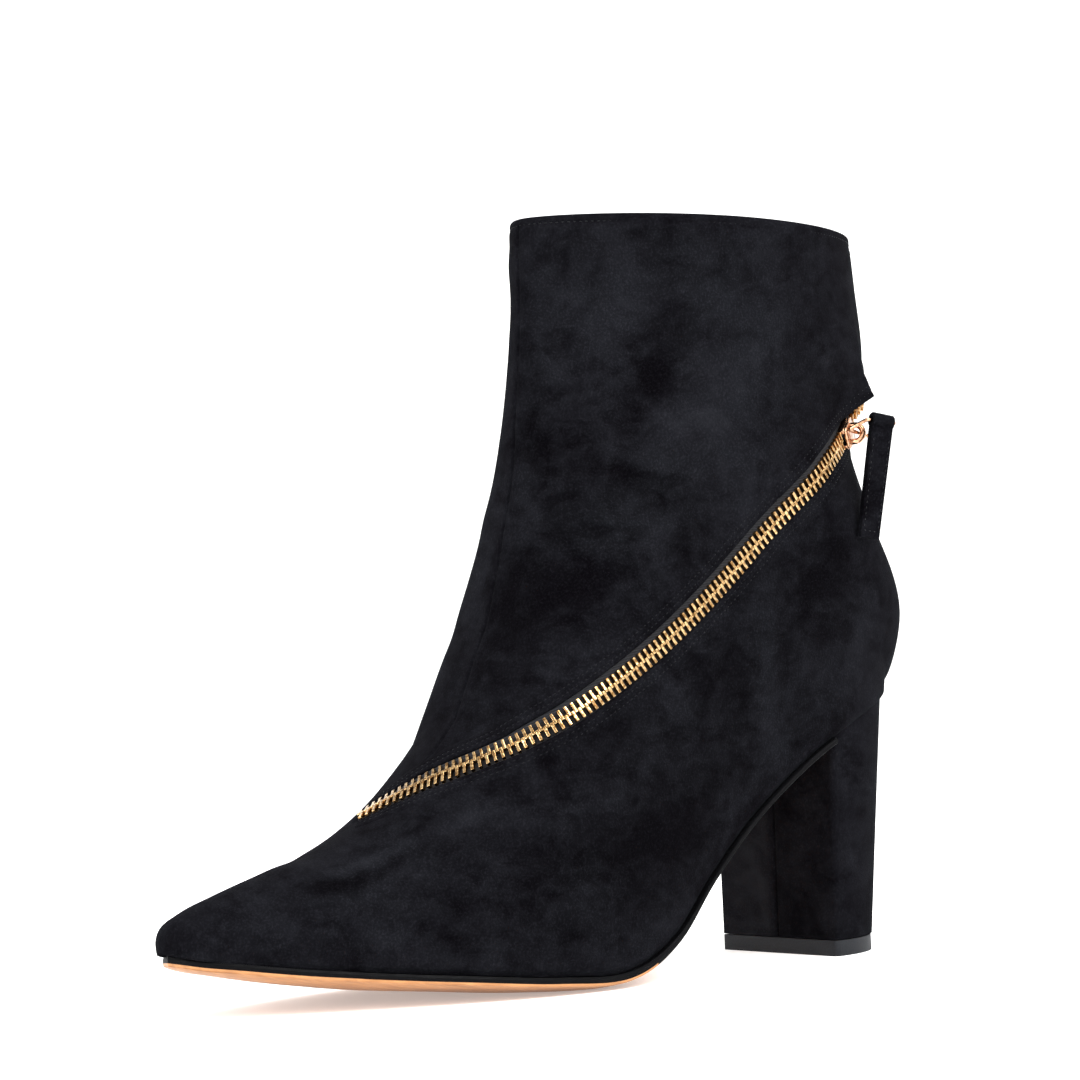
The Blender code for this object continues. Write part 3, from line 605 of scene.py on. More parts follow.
# %% Metal, tape and thread
def make_gold(name, light, painted_dark, roughness):
    """Polished plated metal with painted glints: dark brown patches are painted reflection, and rougher."""
    material, tree, shader = new_finish(name, light, roughness, Metallic=1.0)
    polish_and_painted_glints = noise(tree, object_places(tree), 1.1, detail=3.0, roughness=0.6)
    color = mix_colors(tree, spread(tree, polish_and_painted_glints, 0.36, 0.64), painted_dark, light)
    dulled = spread(tree, polish_and_painted_glints, 0.3, 0.7, to_low=roughness * 1.5, to_high=roughness * 0.7)
    tree.links.new(color, shader.inputs["Base Color"])
    tree.links.new(dulled, shader.inputs["Roughness"])
    return material


def make_tape_weave():
    """Woven tape: a fine twill that follows the tape's own length and width."""
    material, tree, shader = new_finish("tape_weave", (0.008, 0.008, 0.009), 0.8, Specular_IOR_Level=0.25)
    source = tree.nodes.new("ShaderNodeTexCoord")
    ribs = tree.nodes.new("ShaderNodeTexWave")
    ribs.bands_direction = "DIAGONAL"
    ribs.inputs["Scale"].default_value = 0.9
    ribs.inputs["Distortion"].default_value = 0.4
    tree.links.new(source.outputs["UV"], ribs.inputs["Vector"])
    color = mix_colors(tree, ribs.outputs["Fac"], (0.003, 0.003, 0.004), (0.014, 0.0145, 0.018))
    tree.links.new(color, shader.inputs["Base Color"])
    bump(tree, shader, ribs.outputs["Fac"], depth_mm=0.12)
    return material


def make_thread(name, color, glint):
    """Waxed black thread with a soft glint and twisted strands."""
    material, tree, shader = new_finish(name, color, 0.45, Specular_IOR_Level=glint)
    bump(tree, shader, noise(tree, object_places(tree), 0.25), depth_mm=0.05)
    return material


# Each metal's second colour is a painted dark reflection between its glints.
GOLD = make_gold("pale_gold", (0.72, 0.49, 0.24), (0.24, 0.125, 0.042), 0.14)
ROSE_GOLD = make_gold("rose_gold", (0.66, 0.39, 0.24), (0.33, 0.165, 0.088), 0.12)
TAPE = make_tape_weave()
THREAD = make_thread("black_thread", (0.007, 0.007, 0.008), 0.18)
WORN_THREAD = make_thread("worn_thread", (0.005, 0.005, 0.006), 0.09)
print("finishes:", len(bpy.data.materials))

# %% [markdown]
# ## Helpers for pieces
# A piece starts as a flat grid, whose corners are then put on the last: the grid gives the faces, a
# function gives the places. Small repeated shapes are made once and copied into one mesh.


# %% Mesh helpers
def placed_grid(columns, rows, place):
    """A grid of faces whose corners go to place(column indices, row indices), in the boot's millimetres."""
    bm = bmesh.new()
    bmesh.ops.create_grid(bm, x_segments=columns, y_segments=rows, size=0.5)
    shares = np.array([vert.co[:2] for vert in bm.verts]) + 0.5
    column = np.rint(shares[:, 0] * columns).astype(int)
    row = np.rint(shares[:, 1] * rows).astype(int)
    for vert, point in zip(bm.verts, to_frame(place(column, row))):
        vert.co = point
    return bm, column, row


def sew(bm, distance_mm=0.02):
    """Joins corners that lie on each other."""
    bmesh.ops.remove_doubles(bm, verts=bm.verts, dist=distance_mm * MM)
    bmesh.ops.dissolve_degenerate(bm, edges=bm.edges, dist=distance_mm * MM)


def close_piece(bm):
    """Sews a piece's seams, fills its open ends and turns its faces outwards."""
    sew(bm)
    bmesh.ops.holes_fill(bm, edges=bm.edges, sides=0)
    bmesh.ops.triangulate(bm, faces=[face for face in bm.faces if len(face.verts) > 4])
    bmesh.ops.recalc_face_normals(bm, faces=bm.faces)


def round_edges(bm, edges, radius):
    """Rounds edges with three narrow faces."""
    bmesh.ops.bevel(
        bm, geom=edges, offset=radius, segments=3, profile=0.5, affect="EDGES", material=-1,
        offset_type="OFFSET", clamp_overlap=True,
    )


def corners_of(geometry):
    """The corners among new pieces of geometry."""
    return [item for item in geometry if isinstance(item, bmesh.types.BMVert)]


def store_nap_and_light(bm, leans):
    """Stores on each corner how the nap leans there, with painted light and shade, for the suede to read."""
    lean = bm.verts.layers.float.new("nap_and_light")
    for vert, value in zip(bm.verts, leans):
        vert[lean] = value


def face_towards(bm, point):
    """Turns an open sheet so that it faces a point of the boot's millimetres."""
    aim = Vector(to_frame(point))
    away = sum((aim - face.calc_center_median()).dot(face.normal) * face.calc_area() for face in bm.faces)
    if away < 0:
        bmesh.ops.reverse_faces(bm, faces=bm.faces)


print("mesh helpers ready")


# %% Pieces and copies
def finish_piece(name, bm, finishes, body, replaces=(), sharp=60.0):
    """Turns a mesh into a piece that rides on a body."""
    mesh = bpy.data.meshes.new(name)
    bm.normal_update()
    bm.to_mesh(mesh)
    bm.free()
    mesh.shade_smooth()
    mesh.set_sharp_from_angle(angle=math.radians(sharp))
    for finish in finishes:
        mesh.materials.append(finish)
    piece = bpy.data.objects.new(name, mesh)
    bpy.context.scene.collection.objects.link(piece)
    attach(piece, body)
    if replaces:
        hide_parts(*replaces)
    print(name, "has", len(mesh.polygons), "faces")
    return piece


def soft_step(value):
    """0 below 0, 1 above 1 and a smooth rise between."""
    value = np.clip(value, 0.0, 1.0)
    return value * value * (3 - 2 * value)


def copies(bm_shape, matrices):
    """One mesh with a copy of a small shape at each place."""
    seed = bpy.data.meshes.new("seed")
    bm_shape.to_mesh(seed)
    bm_shape.free()
    joined = bmesh.new()
    for matrix in matrices:
        copy = seed.copy()
        copy.transform(matrix)
        joined.from_mesh(copy)
        bpy.data.meshes.remove(copy)
    bpy.data.meshes.remove(seed)
    return joined


def placing(point, along, across, out):
    """A matrix that puts a small shape, drawn in millimetres, on the boot."""
    turn = Matrix((along * MM, across * MM, out * MM)).transposed().to_4x4()
    return Matrix.Translation(Vector(to_frame(point))) @ turn


print("piece helpers ready")

# %% [markdown]
# ## The zip's line
# The zip starts on the ridge of the vamp, crosses the outer side and ends at the back. It is drawn as a
# smooth line through a few points and then laid onto the last, so that everything about the zip can be
# placed by two numbers: how far along the zip, and how far beside it.

# %% Laying the zip's line
# Each point is a distance across, along and up.
ZIP_PATH = np.array((
    (-12.0, 187.0, 49.0),
    (4.0, 176.0, 58.0),
    (19.0, 166.0, 64.5),
    (33.0, 148.5, 74.0),
    (36.0, 122.0, 88.5),
    (35.5, 91.0, 109.5),
    (35.0, 60.0, 134.0),
    (29.5, 38.5, 149.0),
    (22.5, 27.5, 155.0),
    (15.0, 20.0, 159.0),
))
ZIP_SAMPLES = 500
GUESS_STATIONS = np.linspace(4.0, 22.5, 150)
GUESS_AROUND = np.linspace(0.02, 1.25, 80)
PLACE_STEPS = 12
PLACE_LIMIT = np.array((0.5, 0.05))


def surface_step(station, around, move):
    """How station and way round change for a short move over the last."""
    by_station, by_around = last_slopes(station, around)
    station_square = (by_station * by_station).sum(-1)
    around_square = (by_around * by_around).sum(-1)
    shared = (by_station * by_around).sum(-1)
    station_part = (by_station * move).sum(-1)
    around_part = (by_around * move).sum(-1)
    whole = np.maximum(station_square * around_square - shared * shared, 1e-9)
    to_station = (station_part * around_square - around_part * shared) / whole
    to_around = (around_part * station_square - station_part * shared) / whole
    return to_station, to_around


def lay_zip_line():
    """Stations and ways round of the zip's middle, and how far along it they are."""
    at = np.linspace(0.0, len(ZIP_PATH) - 1.0, ZIP_SAMPLES)
    wanted = smooth_rows(ZIP_PATH, distances(ZIP_PATH), at) * (1.0, -1.0, 1.0)
    stations, arounds = [grid.ravel() for grid in np.meshgrid(GUESS_STATIONS, GUESS_AROUND, indexing="ij")]
    guesses = last_points(stations, arounds)
    nearest = [np.argmin(((guesses - point) ** 2).sum(1)) for point in wanted]
    station = stations[nearest]
    around = arounds[nearest]
    for _ in range(PLACE_STEPS):
        to_station, to_around = surface_step(station, around, wanted - last_points(station, around))
        station = station + np.clip(to_station, -PLACE_LIMIT[0], PLACE_LIMIT[0])
        around = around + np.clip(to_around, -PLACE_LIMIT[1], PLACE_LIMIT[1])
    return station, around, distances(last_points(station, around))


ZIP_STATION, ZIP_AROUND, ZIP_MEASURE = lay_zip_line()
ZIP_LENGTH = ZIP_MEASURE[-1]
print("the zip is", ZIP_LENGTH.round(1), "mm long")

# %% Places along and beside the zip
BESIDE_STEPS = 8
AXIS_REACH = 1.0


def zip_place(distance):
    """Station and way round at distances along the zip."""
    distance = np.asarray(distance, float)
    return np.interp(distance, ZIP_MEASURE, ZIP_STATION), np.interp(distance, ZIP_MEASURE, ZIP_AROUND)


def zip_axes(distance):
    """Points of the zip's line, and the directions along it, across it (upwards) and out of the boot."""
    distance = np.asarray(distance, float)
    ahead = last_points(*zip_place(np.minimum(distance + AXIS_REACH, ZIP_LENGTH)))
    behind = last_points(*zip_place(np.maximum(distance - AXIS_REACH, 0.0)))
    along = unit(ahead - behind)
    place = zip_place(distance)
    out = last_normals(*place)
    across = unit(np.cross(out, along))
    return last_points(*place), along, across, out


def beside_zip(distance, offset):
    """Points beside the zip's line, reached in short steps over the last, and the directions out of it."""
    distance, offset = np.broadcast_arrays(np.asarray(distance, float), np.asarray(offset, float))
    station, around = zip_place(distance)
    stride = zip_axes(distance)[2] * offset[..., None] / BESIDE_STEPS
    for _ in range(BESIDE_STEPS):
        to_station, to_around = surface_step(station, around, stride)
        station = station + to_station
        around = around + to_around
    return last_points(station, around), last_normals(station, around)


print("the zip starts at", zip_axes(np.array([0.0]))[0].round(1)[0], "mm")

# %% [markdown]
# ## How the zip's opening runs
# The suede is folded back on both sides of the zip: close to the teeth on the lower side, a little further
# away on the upper side, where the tape shows. Past the slider the two sides part. At the back the upper
# side stands proud.

# %% The zip's opening
UPPER_EDGE = 4.1
LOWER_EDGE = 2.95
SLIDER_SHARE = 0.925
SLIDER_AT = SLIDER_SHARE * ZIP_LENGTH
END_ROUND = 4.0
BACK_ROUND = 3.0
PART_ABOVE = 4.6
PART_BELOW = 1.8
PROUD_FROM = 0.92
PROUD_BY = 4.4
PROUD_REACH = 7.0
PRESSED_BY = 1.2
CORNER_FROM = 0.92
CORNER_BY = 1.8
FRONT_LENGTH = 70.0
FRONT_ABOVE = 0.24
FRONT_BELOW = 0.48


def closing(distance):
    """1 along the zip, falling to 0 over its last millimetres at the back."""
    return soft_step((ZIP_LENGTH - np.asarray(distance)) / BACK_ROUND)


def parting(distance, side):
    """How far one side of the zip has moved away from its line behind the slider."""
    most = PART_ABOVE if side > 0 else PART_BELOW
    parted = soft_step((np.asarray(distance) - SLIDER_AT) / (ZIP_LENGTH - SLIDER_AT))
    return most * parted * closing(distance)


def front_width(distance, side):
    """How much wider one side of the zip lies on the vamp, where it opens towards the toe."""
    most = FRONT_ABOVE if side > 0 else FRONT_BELOW
    return 1.0 + most * (1.0 - soft_step(np.asarray(distance) / FRONT_LENGTH))


def opening_edge(distance, side):
    """How far the folded edge lies from the zip's line. It closes in a round at both ends."""
    edge = (UPPER_EDGE if side > 0 else LOWER_EDGE) * front_width(distance, side)
    front = np.clip(1.0 - np.asarray(distance) / END_ROUND, 0.0, 1.0)
    back = np.clip(1.0 - (ZIP_LENGTH - np.asarray(distance)) / BACK_ROUND, 0.0, 1.0)
    return (edge + parting(distance, side)) * np.sqrt((1.0 - front ** 2) * (1.0 - back ** 2))


def proud(distance):
    """How far the upper side stands proud near the back, most of all at its corner."""
    share = np.asarray(distance) / ZIP_LENGTH
    corner = CORNER_BY * soft_step((share - CORNER_FROM) / (1.0 - CORNER_FROM))
    return (PROUD_BY * soft_step((share - PROUD_FROM) / (1.0 - PROUD_FROM)) + corner) * closing(distance)


def pressed(distance):
    """How far the lower side is pressed in near the back."""
    share = np.asarray(distance) / ZIP_LENGTH
    return PRESSED_BY * soft_step((share - PROUD_FROM) / (1.0 - PROUD_FROM)) * closing(distance)


print("the slider stands", SLIDER_AT.round(1), "mm along the zip")

# %% Distances from the zip
ZIP_DEPTH = 6.0
zip_points, _, zip_across, zip_out = zip_axes(ZIP_MEASURE)
zip_tree = KDTree(ZIP_SAMPLES)
for index, point in enumerate(zip_points):
    zip_tree.insert(point, index)
zip_tree.balance()


def from_zip(points):
    """For points near the last: distance along the zip, signed distance beside it and its plain length."""
    found = np.array([zip_tree.find(point)[1] for point in points])
    gap = points - zip_points[found]
    depth = (gap * zip_out[found]).sum(1)
    gap = gap - zip_out[found] * depth[:, None]
    beside = (gap * zip_across[found]).sum(1)
    away = np.hypot(np.linalg.norm(gap, axis=1), np.maximum(np.abs(depth) - ZIP_DEPTH, 0.0))
    return ZIP_MEASURE[found], beside, away


print(len(zip_points), "points along the zip")

# %% [markdown]
# ## The upper
# The upper is suede drawn tight over the last and lined inside. It is made as one sheet: up the outside,
# over a rolled collar edge and down the lining, with its rims joined under the foot. Seams and creases are
# soft troughs and ridges in the sheet itself, placed one by one; the nap, with painted light and shade, is
# left to the finish.

# %% Creases, and nap strokes with painted light and shade
# Places are a station and a way round. Reaches along and around, and the height, are in millimetres.
CREASE_COLUMNS = ("station", "around", "reach_along", "reach_around", "height")
CREASES = (
    (4.4, 1.00, 5.0, 16.0, -0.7),
    (5.6, 0.80, 7.0, 14.0, 0.35),
    (9.2, 0.92, 5.0, 18.0, -0.6),
    (10.6, 0.88, 6.0, 20.0, 0.5),
    (11.8, 0.93, 5.0, 16.0, -0.45),
    (19.5, 0.62, 9.0, 26.0, 0.5),
    (20.6, 0.45, 9.0, 30.0, -0.5),
    (21.6, 0.70, 10.0, 12.0, 0.45),
    (20.8, 0.85, 22.0, 6.0, -0.4),
    (13.5, 0.42, 12.0, 9.0, -0.4),
    (9.0, 1.10, 6.0, 18.0, -0.5),
    (11.0, 1.14, 6.0, 22.0, 0.4),
    (20.0, 1.45, 16.0, 10.0, -0.4),
)
# Patches of lighter (plus) or darker (minus) suede: partly nap marks, partly painted light and shade.
NAP_AND_LIGHT_COLUMNS = ("station", "around", "reach_along", "reach_around", "lean")
NAP_AND_LIGHT_STROKES = (
    (17.4, 0.70, 11.0, 4.0, -0.30),
    (19.0, 0.68, 5.0, 5.0, -0.14),
    (18.6, 0.59, 14.0, 12.0, 0.20),
    (20.7, 0.61, 8.0, 16.0, 0.10),
    (20.6, 0.50, 14.0, 10.0, 0.06),
    (12.7, 0.72, 4.0, 10.0, -0.22),
    (12.2, 0.91, 6.0, 7.0, -0.16),
    (10.1, 0.79, 10.0, 10.0, -0.18),
    (10.5, 0.93, 9.0, 4.0, 0.16),
    (9.3, 0.96, 16.0, 4.0, -0.22),
    (9.8, 1.07, 24.0, 5.0, 0.08),
    (7.8, 1.03, 10.0, 7.0, -0.14),
    (12.1, 0.69, 4.0, 9.0, 0.16),
    (14.5, 0.23, 7.0, 5.0, 0.20),
    (10.6, 0.54, 3.0, 9.0, 0.12),
    (4.9, 0.79, 11.0, 2.8, 0.32),
    (6.2, 0.76, 8.0, 2.6, 0.20),
    (4.4, 0.72, 8.0, 3.2, -0.20),
    (2.4, 0.97, 9.0, 5.0, 0.10),
    (3.7, 0.53, 8.0, 3.0, 0.14),
    (4.9, 0.45, 9.0, 3.0, 0.12),
    (9.5, 0.33, 9.0, 9.0, -0.10),
    (10.8, 0.12, 14.0, 3.0, 0.12),
    (8.6, 0.65, 14.0, 8.0, -0.10),
    (12.8, 0.30, 9.0, 9.0, -0.03),
    (9.0, 0.42, 45.0, 15.0, -0.13),
    (14.2, 0.38, 18.0, 13.0, -0.17),
    (10.3, 0.86, 22.0, 13.0, -0.12),
    (8.5, 0.93, 16.0, 7.0, -0.10),
    (19.2, 0.76, 9.0, 9.0, 0.12),
    (18.3, 0.77, 8.0, 7.0, 0.16),
    (11.4, 0.45, 13.0, 9.0, -0.16),
    (7.3, 0.60, 12.0, 8.0, -0.12),
    (4.4, 0.86, 8.0, 3.0, 0.12),
)


def soft_spots(points, table, columns):
    """The sum of soft round spots, each drawn out along and around the boot, at points of the last."""
    total = np.zeros(len(points))
    for row in table:
        spot = dict(zip(columns, row))
        station = np.array([spot["station"]])
        around = np.array([spot["around"]])
        gap = points - last_points(station, around)
        by_station, by_around = last_slopes(station, around)
        along = (gap * unit(by_station)).sum(1) / spot["reach_along"]
        across = (gap * unit(by_around)).sum(1) / spot["reach_around"]
        farthest = max(spot["reach_along"], spot["reach_around"])
        off_face = (gap * last_normals(station, around)).sum(1) / farthest
        total += row[-1] * np.exp(-along ** 2 - across ** 2 - off_face ** 2)
    return total


print(len(CREASES), "creases and", len(NAP_AND_LIGHT_STROKES), "strokes")

# %% The upper's relief
GROOVE_DEPTH = 1.25
GROOVE_SOFT = 1.4
LEAST_OPENING = 0.2
FOLD_REACH = 6.0
FOLD_BLEND = 2.0
UNDER_FOLD = 0.4
SEAM_DEPTH = 0.5
SEAM_HALF = 0.42
SEAM_PUFF = 0.16
SEAM_PUFF_AT = 1.5
TUCK_DEPTH = 0.55
TUCK_REACH = 1.8
TUCK_FROM = 3.0
COLLAR_STITCH_AT = 2.3
COLLAR_STITCH_DEPTH = 0.25
COLLAR_STITCH_HALF = 0.6
FRONT_SEAM_FROM = 5.0
FRONT_SEAM_REACH = 0.06
BACK_SEAM_REACH = 0.12
BACK_SEAM_SHARE = 0.6


def seam_profile(distance):
    """A closed seam: a narrow trough between two soft swells."""
    trough = -SEAM_DEPTH * np.exp(-(distance / SEAM_HALF) ** 2)
    return trough + SEAM_PUFF * np.exp(-((np.abs(distance) - SEAM_PUFF_AT) / SEAM_PUFF_AT) ** 2)


def upper_relief(station, around, points):
    """Heights along the normal, in millimetres, for points of the upper's outer face."""
    along_zip, beside, away = from_zip(points)
    side = np.where(beside > 0, 1.0, -1.0)
    edge = np.where(side > 0, opening_edge(along_zip, 1), opening_edge(along_zip, -1))
    sunk = soft_step((edge + GROOVE_SOFT - away) / GROOVE_SOFT) * (edge > LEAST_OPENING)
    flare = np.exp(-np.maximum(away - edge, 0.0) / PROUD_REACH)
    lift = np.where(side > 0, proud(along_zip), -pressed(along_zip)) * (1.0 - sunk)
    under_fold = soft_step((FOLD_REACH - away + edge) / FOLD_BLEND) * soft_step(np.abs(lift))
    height = flare * lift - GROOVE_DEPTH * sunk - UNDER_FOLD * under_fold
    size = section_sizes(station)
    from_ridge = points[:, 0] - size["shift"]
    on_front = (np.abs(around - 1.0) < FRONT_SEAM_REACH) & (station > FRONT_SEAM_FROM) & (beside > 0)
    height += np.where(on_front, seam_profile(from_ridge), 0.0)
    on_back = (np.minimum(around, 2.0 - around) < BACK_SEAM_REACH) & (station > BACK_STATION)
    height += np.where(on_back, BACK_SEAM_SHARE * seam_profile(from_ridge), 0.0)
    to_sole = np.linalg.norm(points - last_points(station, np.where(around <= 1.0, 0.0, 2.0)), axis=1)
    tucked = TUCK_DEPTH * soft_step(1.0 - to_sole / TUCK_REACH)
    tucked = tucked * soft_step((station - TUCK_FROM) / TUCK_FROM)
    height -= np.where(station < BACK_STATION, tucked, 0.0)
    to_collar = np.linalg.norm(points - last_points(COLLAR_STATION, around), axis=1)
    height -= COLLAR_STITCH_DEPTH * np.exp(-((to_collar - COLLAR_STITCH_AT) / COLLAR_STITCH_HALF) ** 2)
    return height + soft_spots(points, CREASES, CREASE_COLUMNS)


print("the zip's groove is", GROOVE_DEPTH, "mm deep")

# %% The upper
OUTER_ROWS = 230
ROLL_ROWS = 6
INNER_ROWS = 70
INNER_FIRST = 1.0
ROUND_COLUMNS = 190
SEAM_STEPS = (0.0025, 0.005, 0.0075, 0.011, 0.016)
INNER_WALL = 2.2
COLLAR_EASE = 9.0


def round_list():
    """Ways round of the upper's columns, closer together at the front seam."""
    extra = [1.0 + side * step for side in (-1, 1) for step in SEAM_STEPS]
    return np.unique(np.round(np.concatenate((np.linspace(0.0, 2.0, ROUND_COLUMNS + 1), extra)), 5))


def even_stations(first, last, count):
    """Stations spaced evenly over the boot between two stations."""
    rows = np.arange(len(SECTIONS))
    measure = np.linspace(np.interp(first, rows, SECTION_KNOTS), np.interp(last, rows, SECTION_KNOTS), count)
    return np.interp(measure, SECTION_KNOTS, rows)


def make_upper():
    """Outer suede, rolled collar edge and lining, as one closed sheet."""
    around_at = round_list()
    outer = even_stations(0.0, COLLAR_STATION, OUTER_ROWS)
    inner = even_stations(COLLAR_STATION, INNER_FIRST, INNER_ROWS)
    roll = np.pi * np.arange(1, ROLL_ROWS + 1) / (ROLL_ROWS + 1)
    radius = INNER_WALL / 2
    station_at = np.concatenate((outer, np.full(ROLL_ROWS, float(COLLAR_STATION)), inner))
    depth_at = np.concatenate(
        (np.zeros(OUTER_ROWS), radius * (1 - np.cos(roll)), np.full(INNER_ROWS, INNER_WALL)),
    )
    to_rim = SECTION_KNOTS[-1] - np.interp(station_at, np.arange(len(SECTIONS)), SECTION_KNOTS)
    rise_at = np.concatenate((np.zeros(OUTER_ROWS), radius * np.sin(roll), np.zeros(INNER_ROWS)))
    rise_at -= radius * soft_step(1.0 - to_rim / COLLAR_EASE)
    collar = np.full(len(around_at), float(COLLAR_STATION))
    collar_up = unit(last_slopes(collar, around_at)[0])
    nap_and_light = {}

    def place(column, row):
        station = station_at[row]
        around = around_at[column]
        points = last_points(station, around)
        normals = last_normals(station, around)
        outside = row < OUTER_ROWS
        height = -depth_at[row]
        height[outside] += upper_relief(station[outside], around[outside], points[outside])
        nap_and_light["lean"] = np.where(outside, soft_spots(points, NAP_AND_LIGHT_STROKES, NAP_AND_LIGHT_COLUMNS), 0.0)
        return points + normals * height[:, None] + collar_up[column] * rise_at[row][:, None]

    bm, _, row = placed_grid(len(around_at) - 1, len(station_at) - 1, place)
    store_nap_and_light(bm, nap_and_light["lean"])
    lining_from = OUTER_ROWS + ROLL_ROWS
    row_of = dict(zip(bm.verts, row))
    for face in bm.faces:
        face.material_index = int(min(row_of[vert] for vert in face.verts) >= lining_from)
    sew(bm)
    rims = [edge for edge in bm.edges if edge.is_boundary]
    for face in bmesh.ops.bridge_loops(bm, edges=rims)["faces"]:
        face.material_index = 0
    bmesh.ops.recalc_face_normals(bm, faces=bm.faces)
    return finish_piece("suede_upper", bm, (SUEDE, LINING), "boot", ("upper",), sharp=75.0)


make_upper()

# %% [markdown]
# ## Folded edges of the zip
# Along the zip the suede is turned under and stitched down twice. A step in the upper's sheet would be
# jagged, as its faces run across the zip, so each folded edge is a strip of its own whose faces run with
# the zip. Its profile turns under at the teeth, dips at the stitches and sinks into the upper on its other
# side.

# %% Folded edges
EDGE_STEPS = 330
# Each point is an offset from the edge and a height.
FOLD_PROFILE = np.array((
    (0.9, -1.35),
    (0.3, -1.1),
    (0.02, -0.65),
    (0.0, -0.25),
    (0.12, 0.08),
    (0.4, 0.26),
    (0.8, 0.34),
    (1.25, 0.30),
    (1.55, 0.20),
    (1.85, 0.30),
    (2.4, 0.33),
    (2.95, 0.29),
    (3.25, 0.19),
    (3.55, 0.27),
    (4.2, 0.24),
    (5.2, 0.10),
    (6.4, -0.18),
))
STITCH_ROWS = (1.55, 3.25)
FOLD_END = 3.0
FOLD_SINK = 0.4
FOLD_MARGIN = 0.3
# The open strips beside the zip are turned to face this point.
OUTER_POINT = (400.0, -100.0, 120.0)


def fold_height(distance, side, offset, height):
    """Height of a folded edge: it sinks at the zip's ends, and follows the upper's lift at the back."""
    from_end = np.minimum(distance, ZIP_LENGTH - distance)
    sunk = 1.0 - soft_step(from_end / FOLD_END)
    lifted = proud(distance) if side > 0 else -pressed(distance)
    return height * (1 - sunk) - FOLD_SINK * sunk + lifted * np.exp(-offset / PROUD_REACH)


def make_folded_edge(name, side):
    """One folded edge, as a strip along the zip."""
    along_at = np.linspace(FOLD_MARGIN, ZIP_LENGTH - FOLD_MARGIN, EDGE_STEPS + 1)
    nap_and_light = {}

    def place(column, row):
        distance = along_at[column]
        offset = opening_edge(distance, side) + FOLD_PROFILE[row, 0]
        points, normals = beside_zip(distance, side * offset)
        lower = fold_height(distance, side, FOLD_PROFILE[row, 0], FOLD_PROFILE[row, 1])
        nap_and_light["lean"] = soft_spots(points, NAP_AND_LIGHT_STROKES, NAP_AND_LIGHT_COLUMNS)
        relief = soft_spots(points, CREASES, CREASE_COLUMNS)
        return points + normals * (lower + relief)[:, None]

    bm, _, _ = placed_grid(EDGE_STEPS, len(FOLD_PROFILE) - 1, place)
    store_nap_and_light(bm, nap_and_light["lean"])
    face_towards(bm, OUTER_POINT)
    return finish_piece(name, bm, (SUEDE,), "boot")


make_folded_edge("zip_edge_upper", 1)
make_folded_edge("zip_edge_lower", -1)

# %% [markdown]
# ## Tape and teeth
# The tape is a woven band under the teeth. The teeth are single stamped pieces, clamped to the two tape
# edges in turn, and their heads meet in the middle. One tooth is a cube with its end drawn out and its
# edges rounded; it is copied along both sides.

# %% Tape
TAPE_TOP = -0.5
TAPE_HALF = 5.6
TAPE_ROWS = 8
TAPE_UNDER = 0.8
TAPE_MARGIN = 1.0
CHAIN_LIFT = 0.4
CHAIN_PRESS = 0.6


def make_tape_band():
    """The woven band, with a map of its own length and width for the twill."""
    along_at = np.linspace(TAPE_MARGIN, ZIP_LENGTH - TAPE_MARGIN, EDGE_STEPS + 1)
    offset_at = np.linspace(-TAPE_HALF, TAPE_HALF, TAPE_ROWS + 1)

    def place(column, row):
        distance = along_at[column]
        above = np.minimum(TAPE_HALF, opening_edge(distance, 1) + TAPE_UNDER)
        below = np.minimum(TAPE_HALF, opening_edge(distance, -1) + TAPE_UNDER)
        offset = offset_at[row] / TAPE_HALF * np.where(offset_at[row] > 0, above, below)
        points, normals = beside_zip(distance, offset)
        return points + normals * (TAPE_TOP + proud(distance) * (offset > 0) * CHAIN_LIFT)[:, None]

    bm, column, row = placed_grid(EDGE_STEPS, TAPE_ROWS, place)
    uv = bm.loops.layers.uv.new("tape")
    spots = dict(zip(bm.verts, zip(along_at[column], offset_at[row])))
    for face in bm.faces:
        for loop in face.loops:
            loop[uv].uv = spots[loop.vert]
    face_towards(bm, OUTER_POINT)
    return finish_piece("zip_tape_band", bm, (TAPE,), "boot", ("zip_tape",))


make_tape_band()

# %% Teeth
TOOTH_PITCH = 2.2
TOOTH_REACH = 2.65
TOOTH_NECK = 0.85
TOOTH_PAST_MIDDLE = 0.4
TOOTH_LEG_HALF = 0.44
TOOTH_HEAD_HALF = 0.5
TOOTH_FOOT = -0.45
TOOTH_TOP = 0.85
TOOTH_HEAD_RISE = 0.12
TEETH_MARGIN = 1.8
TOOTH_SHOULDER = 0.25
TOOTH_TIP = 0.92
TOOTH_ROUND = 0.24
SLIDER_CLEAR = 3.6


def draw_out(bm, length, widen):
    """Draws a tooth's inner end on towards the middle and makes it wider."""
    inner = min(bm.faces, key=lambda face: face.calc_center_median().y)
    grown = bmesh.ops.extrude_face_region(bm, geom=[inner])["geom"]
    moved = corners_of(grown)
    bmesh.ops.delete(bm, geom=[inner], context="FACES_ONLY")
    bmesh.ops.scale(bm, verts=moved, vec=(widen, 1.0, 1.0))
    bmesh.ops.translate(bm, verts=moved, vec=(0.0, -length, TOOTH_HEAD_RISE / 2))


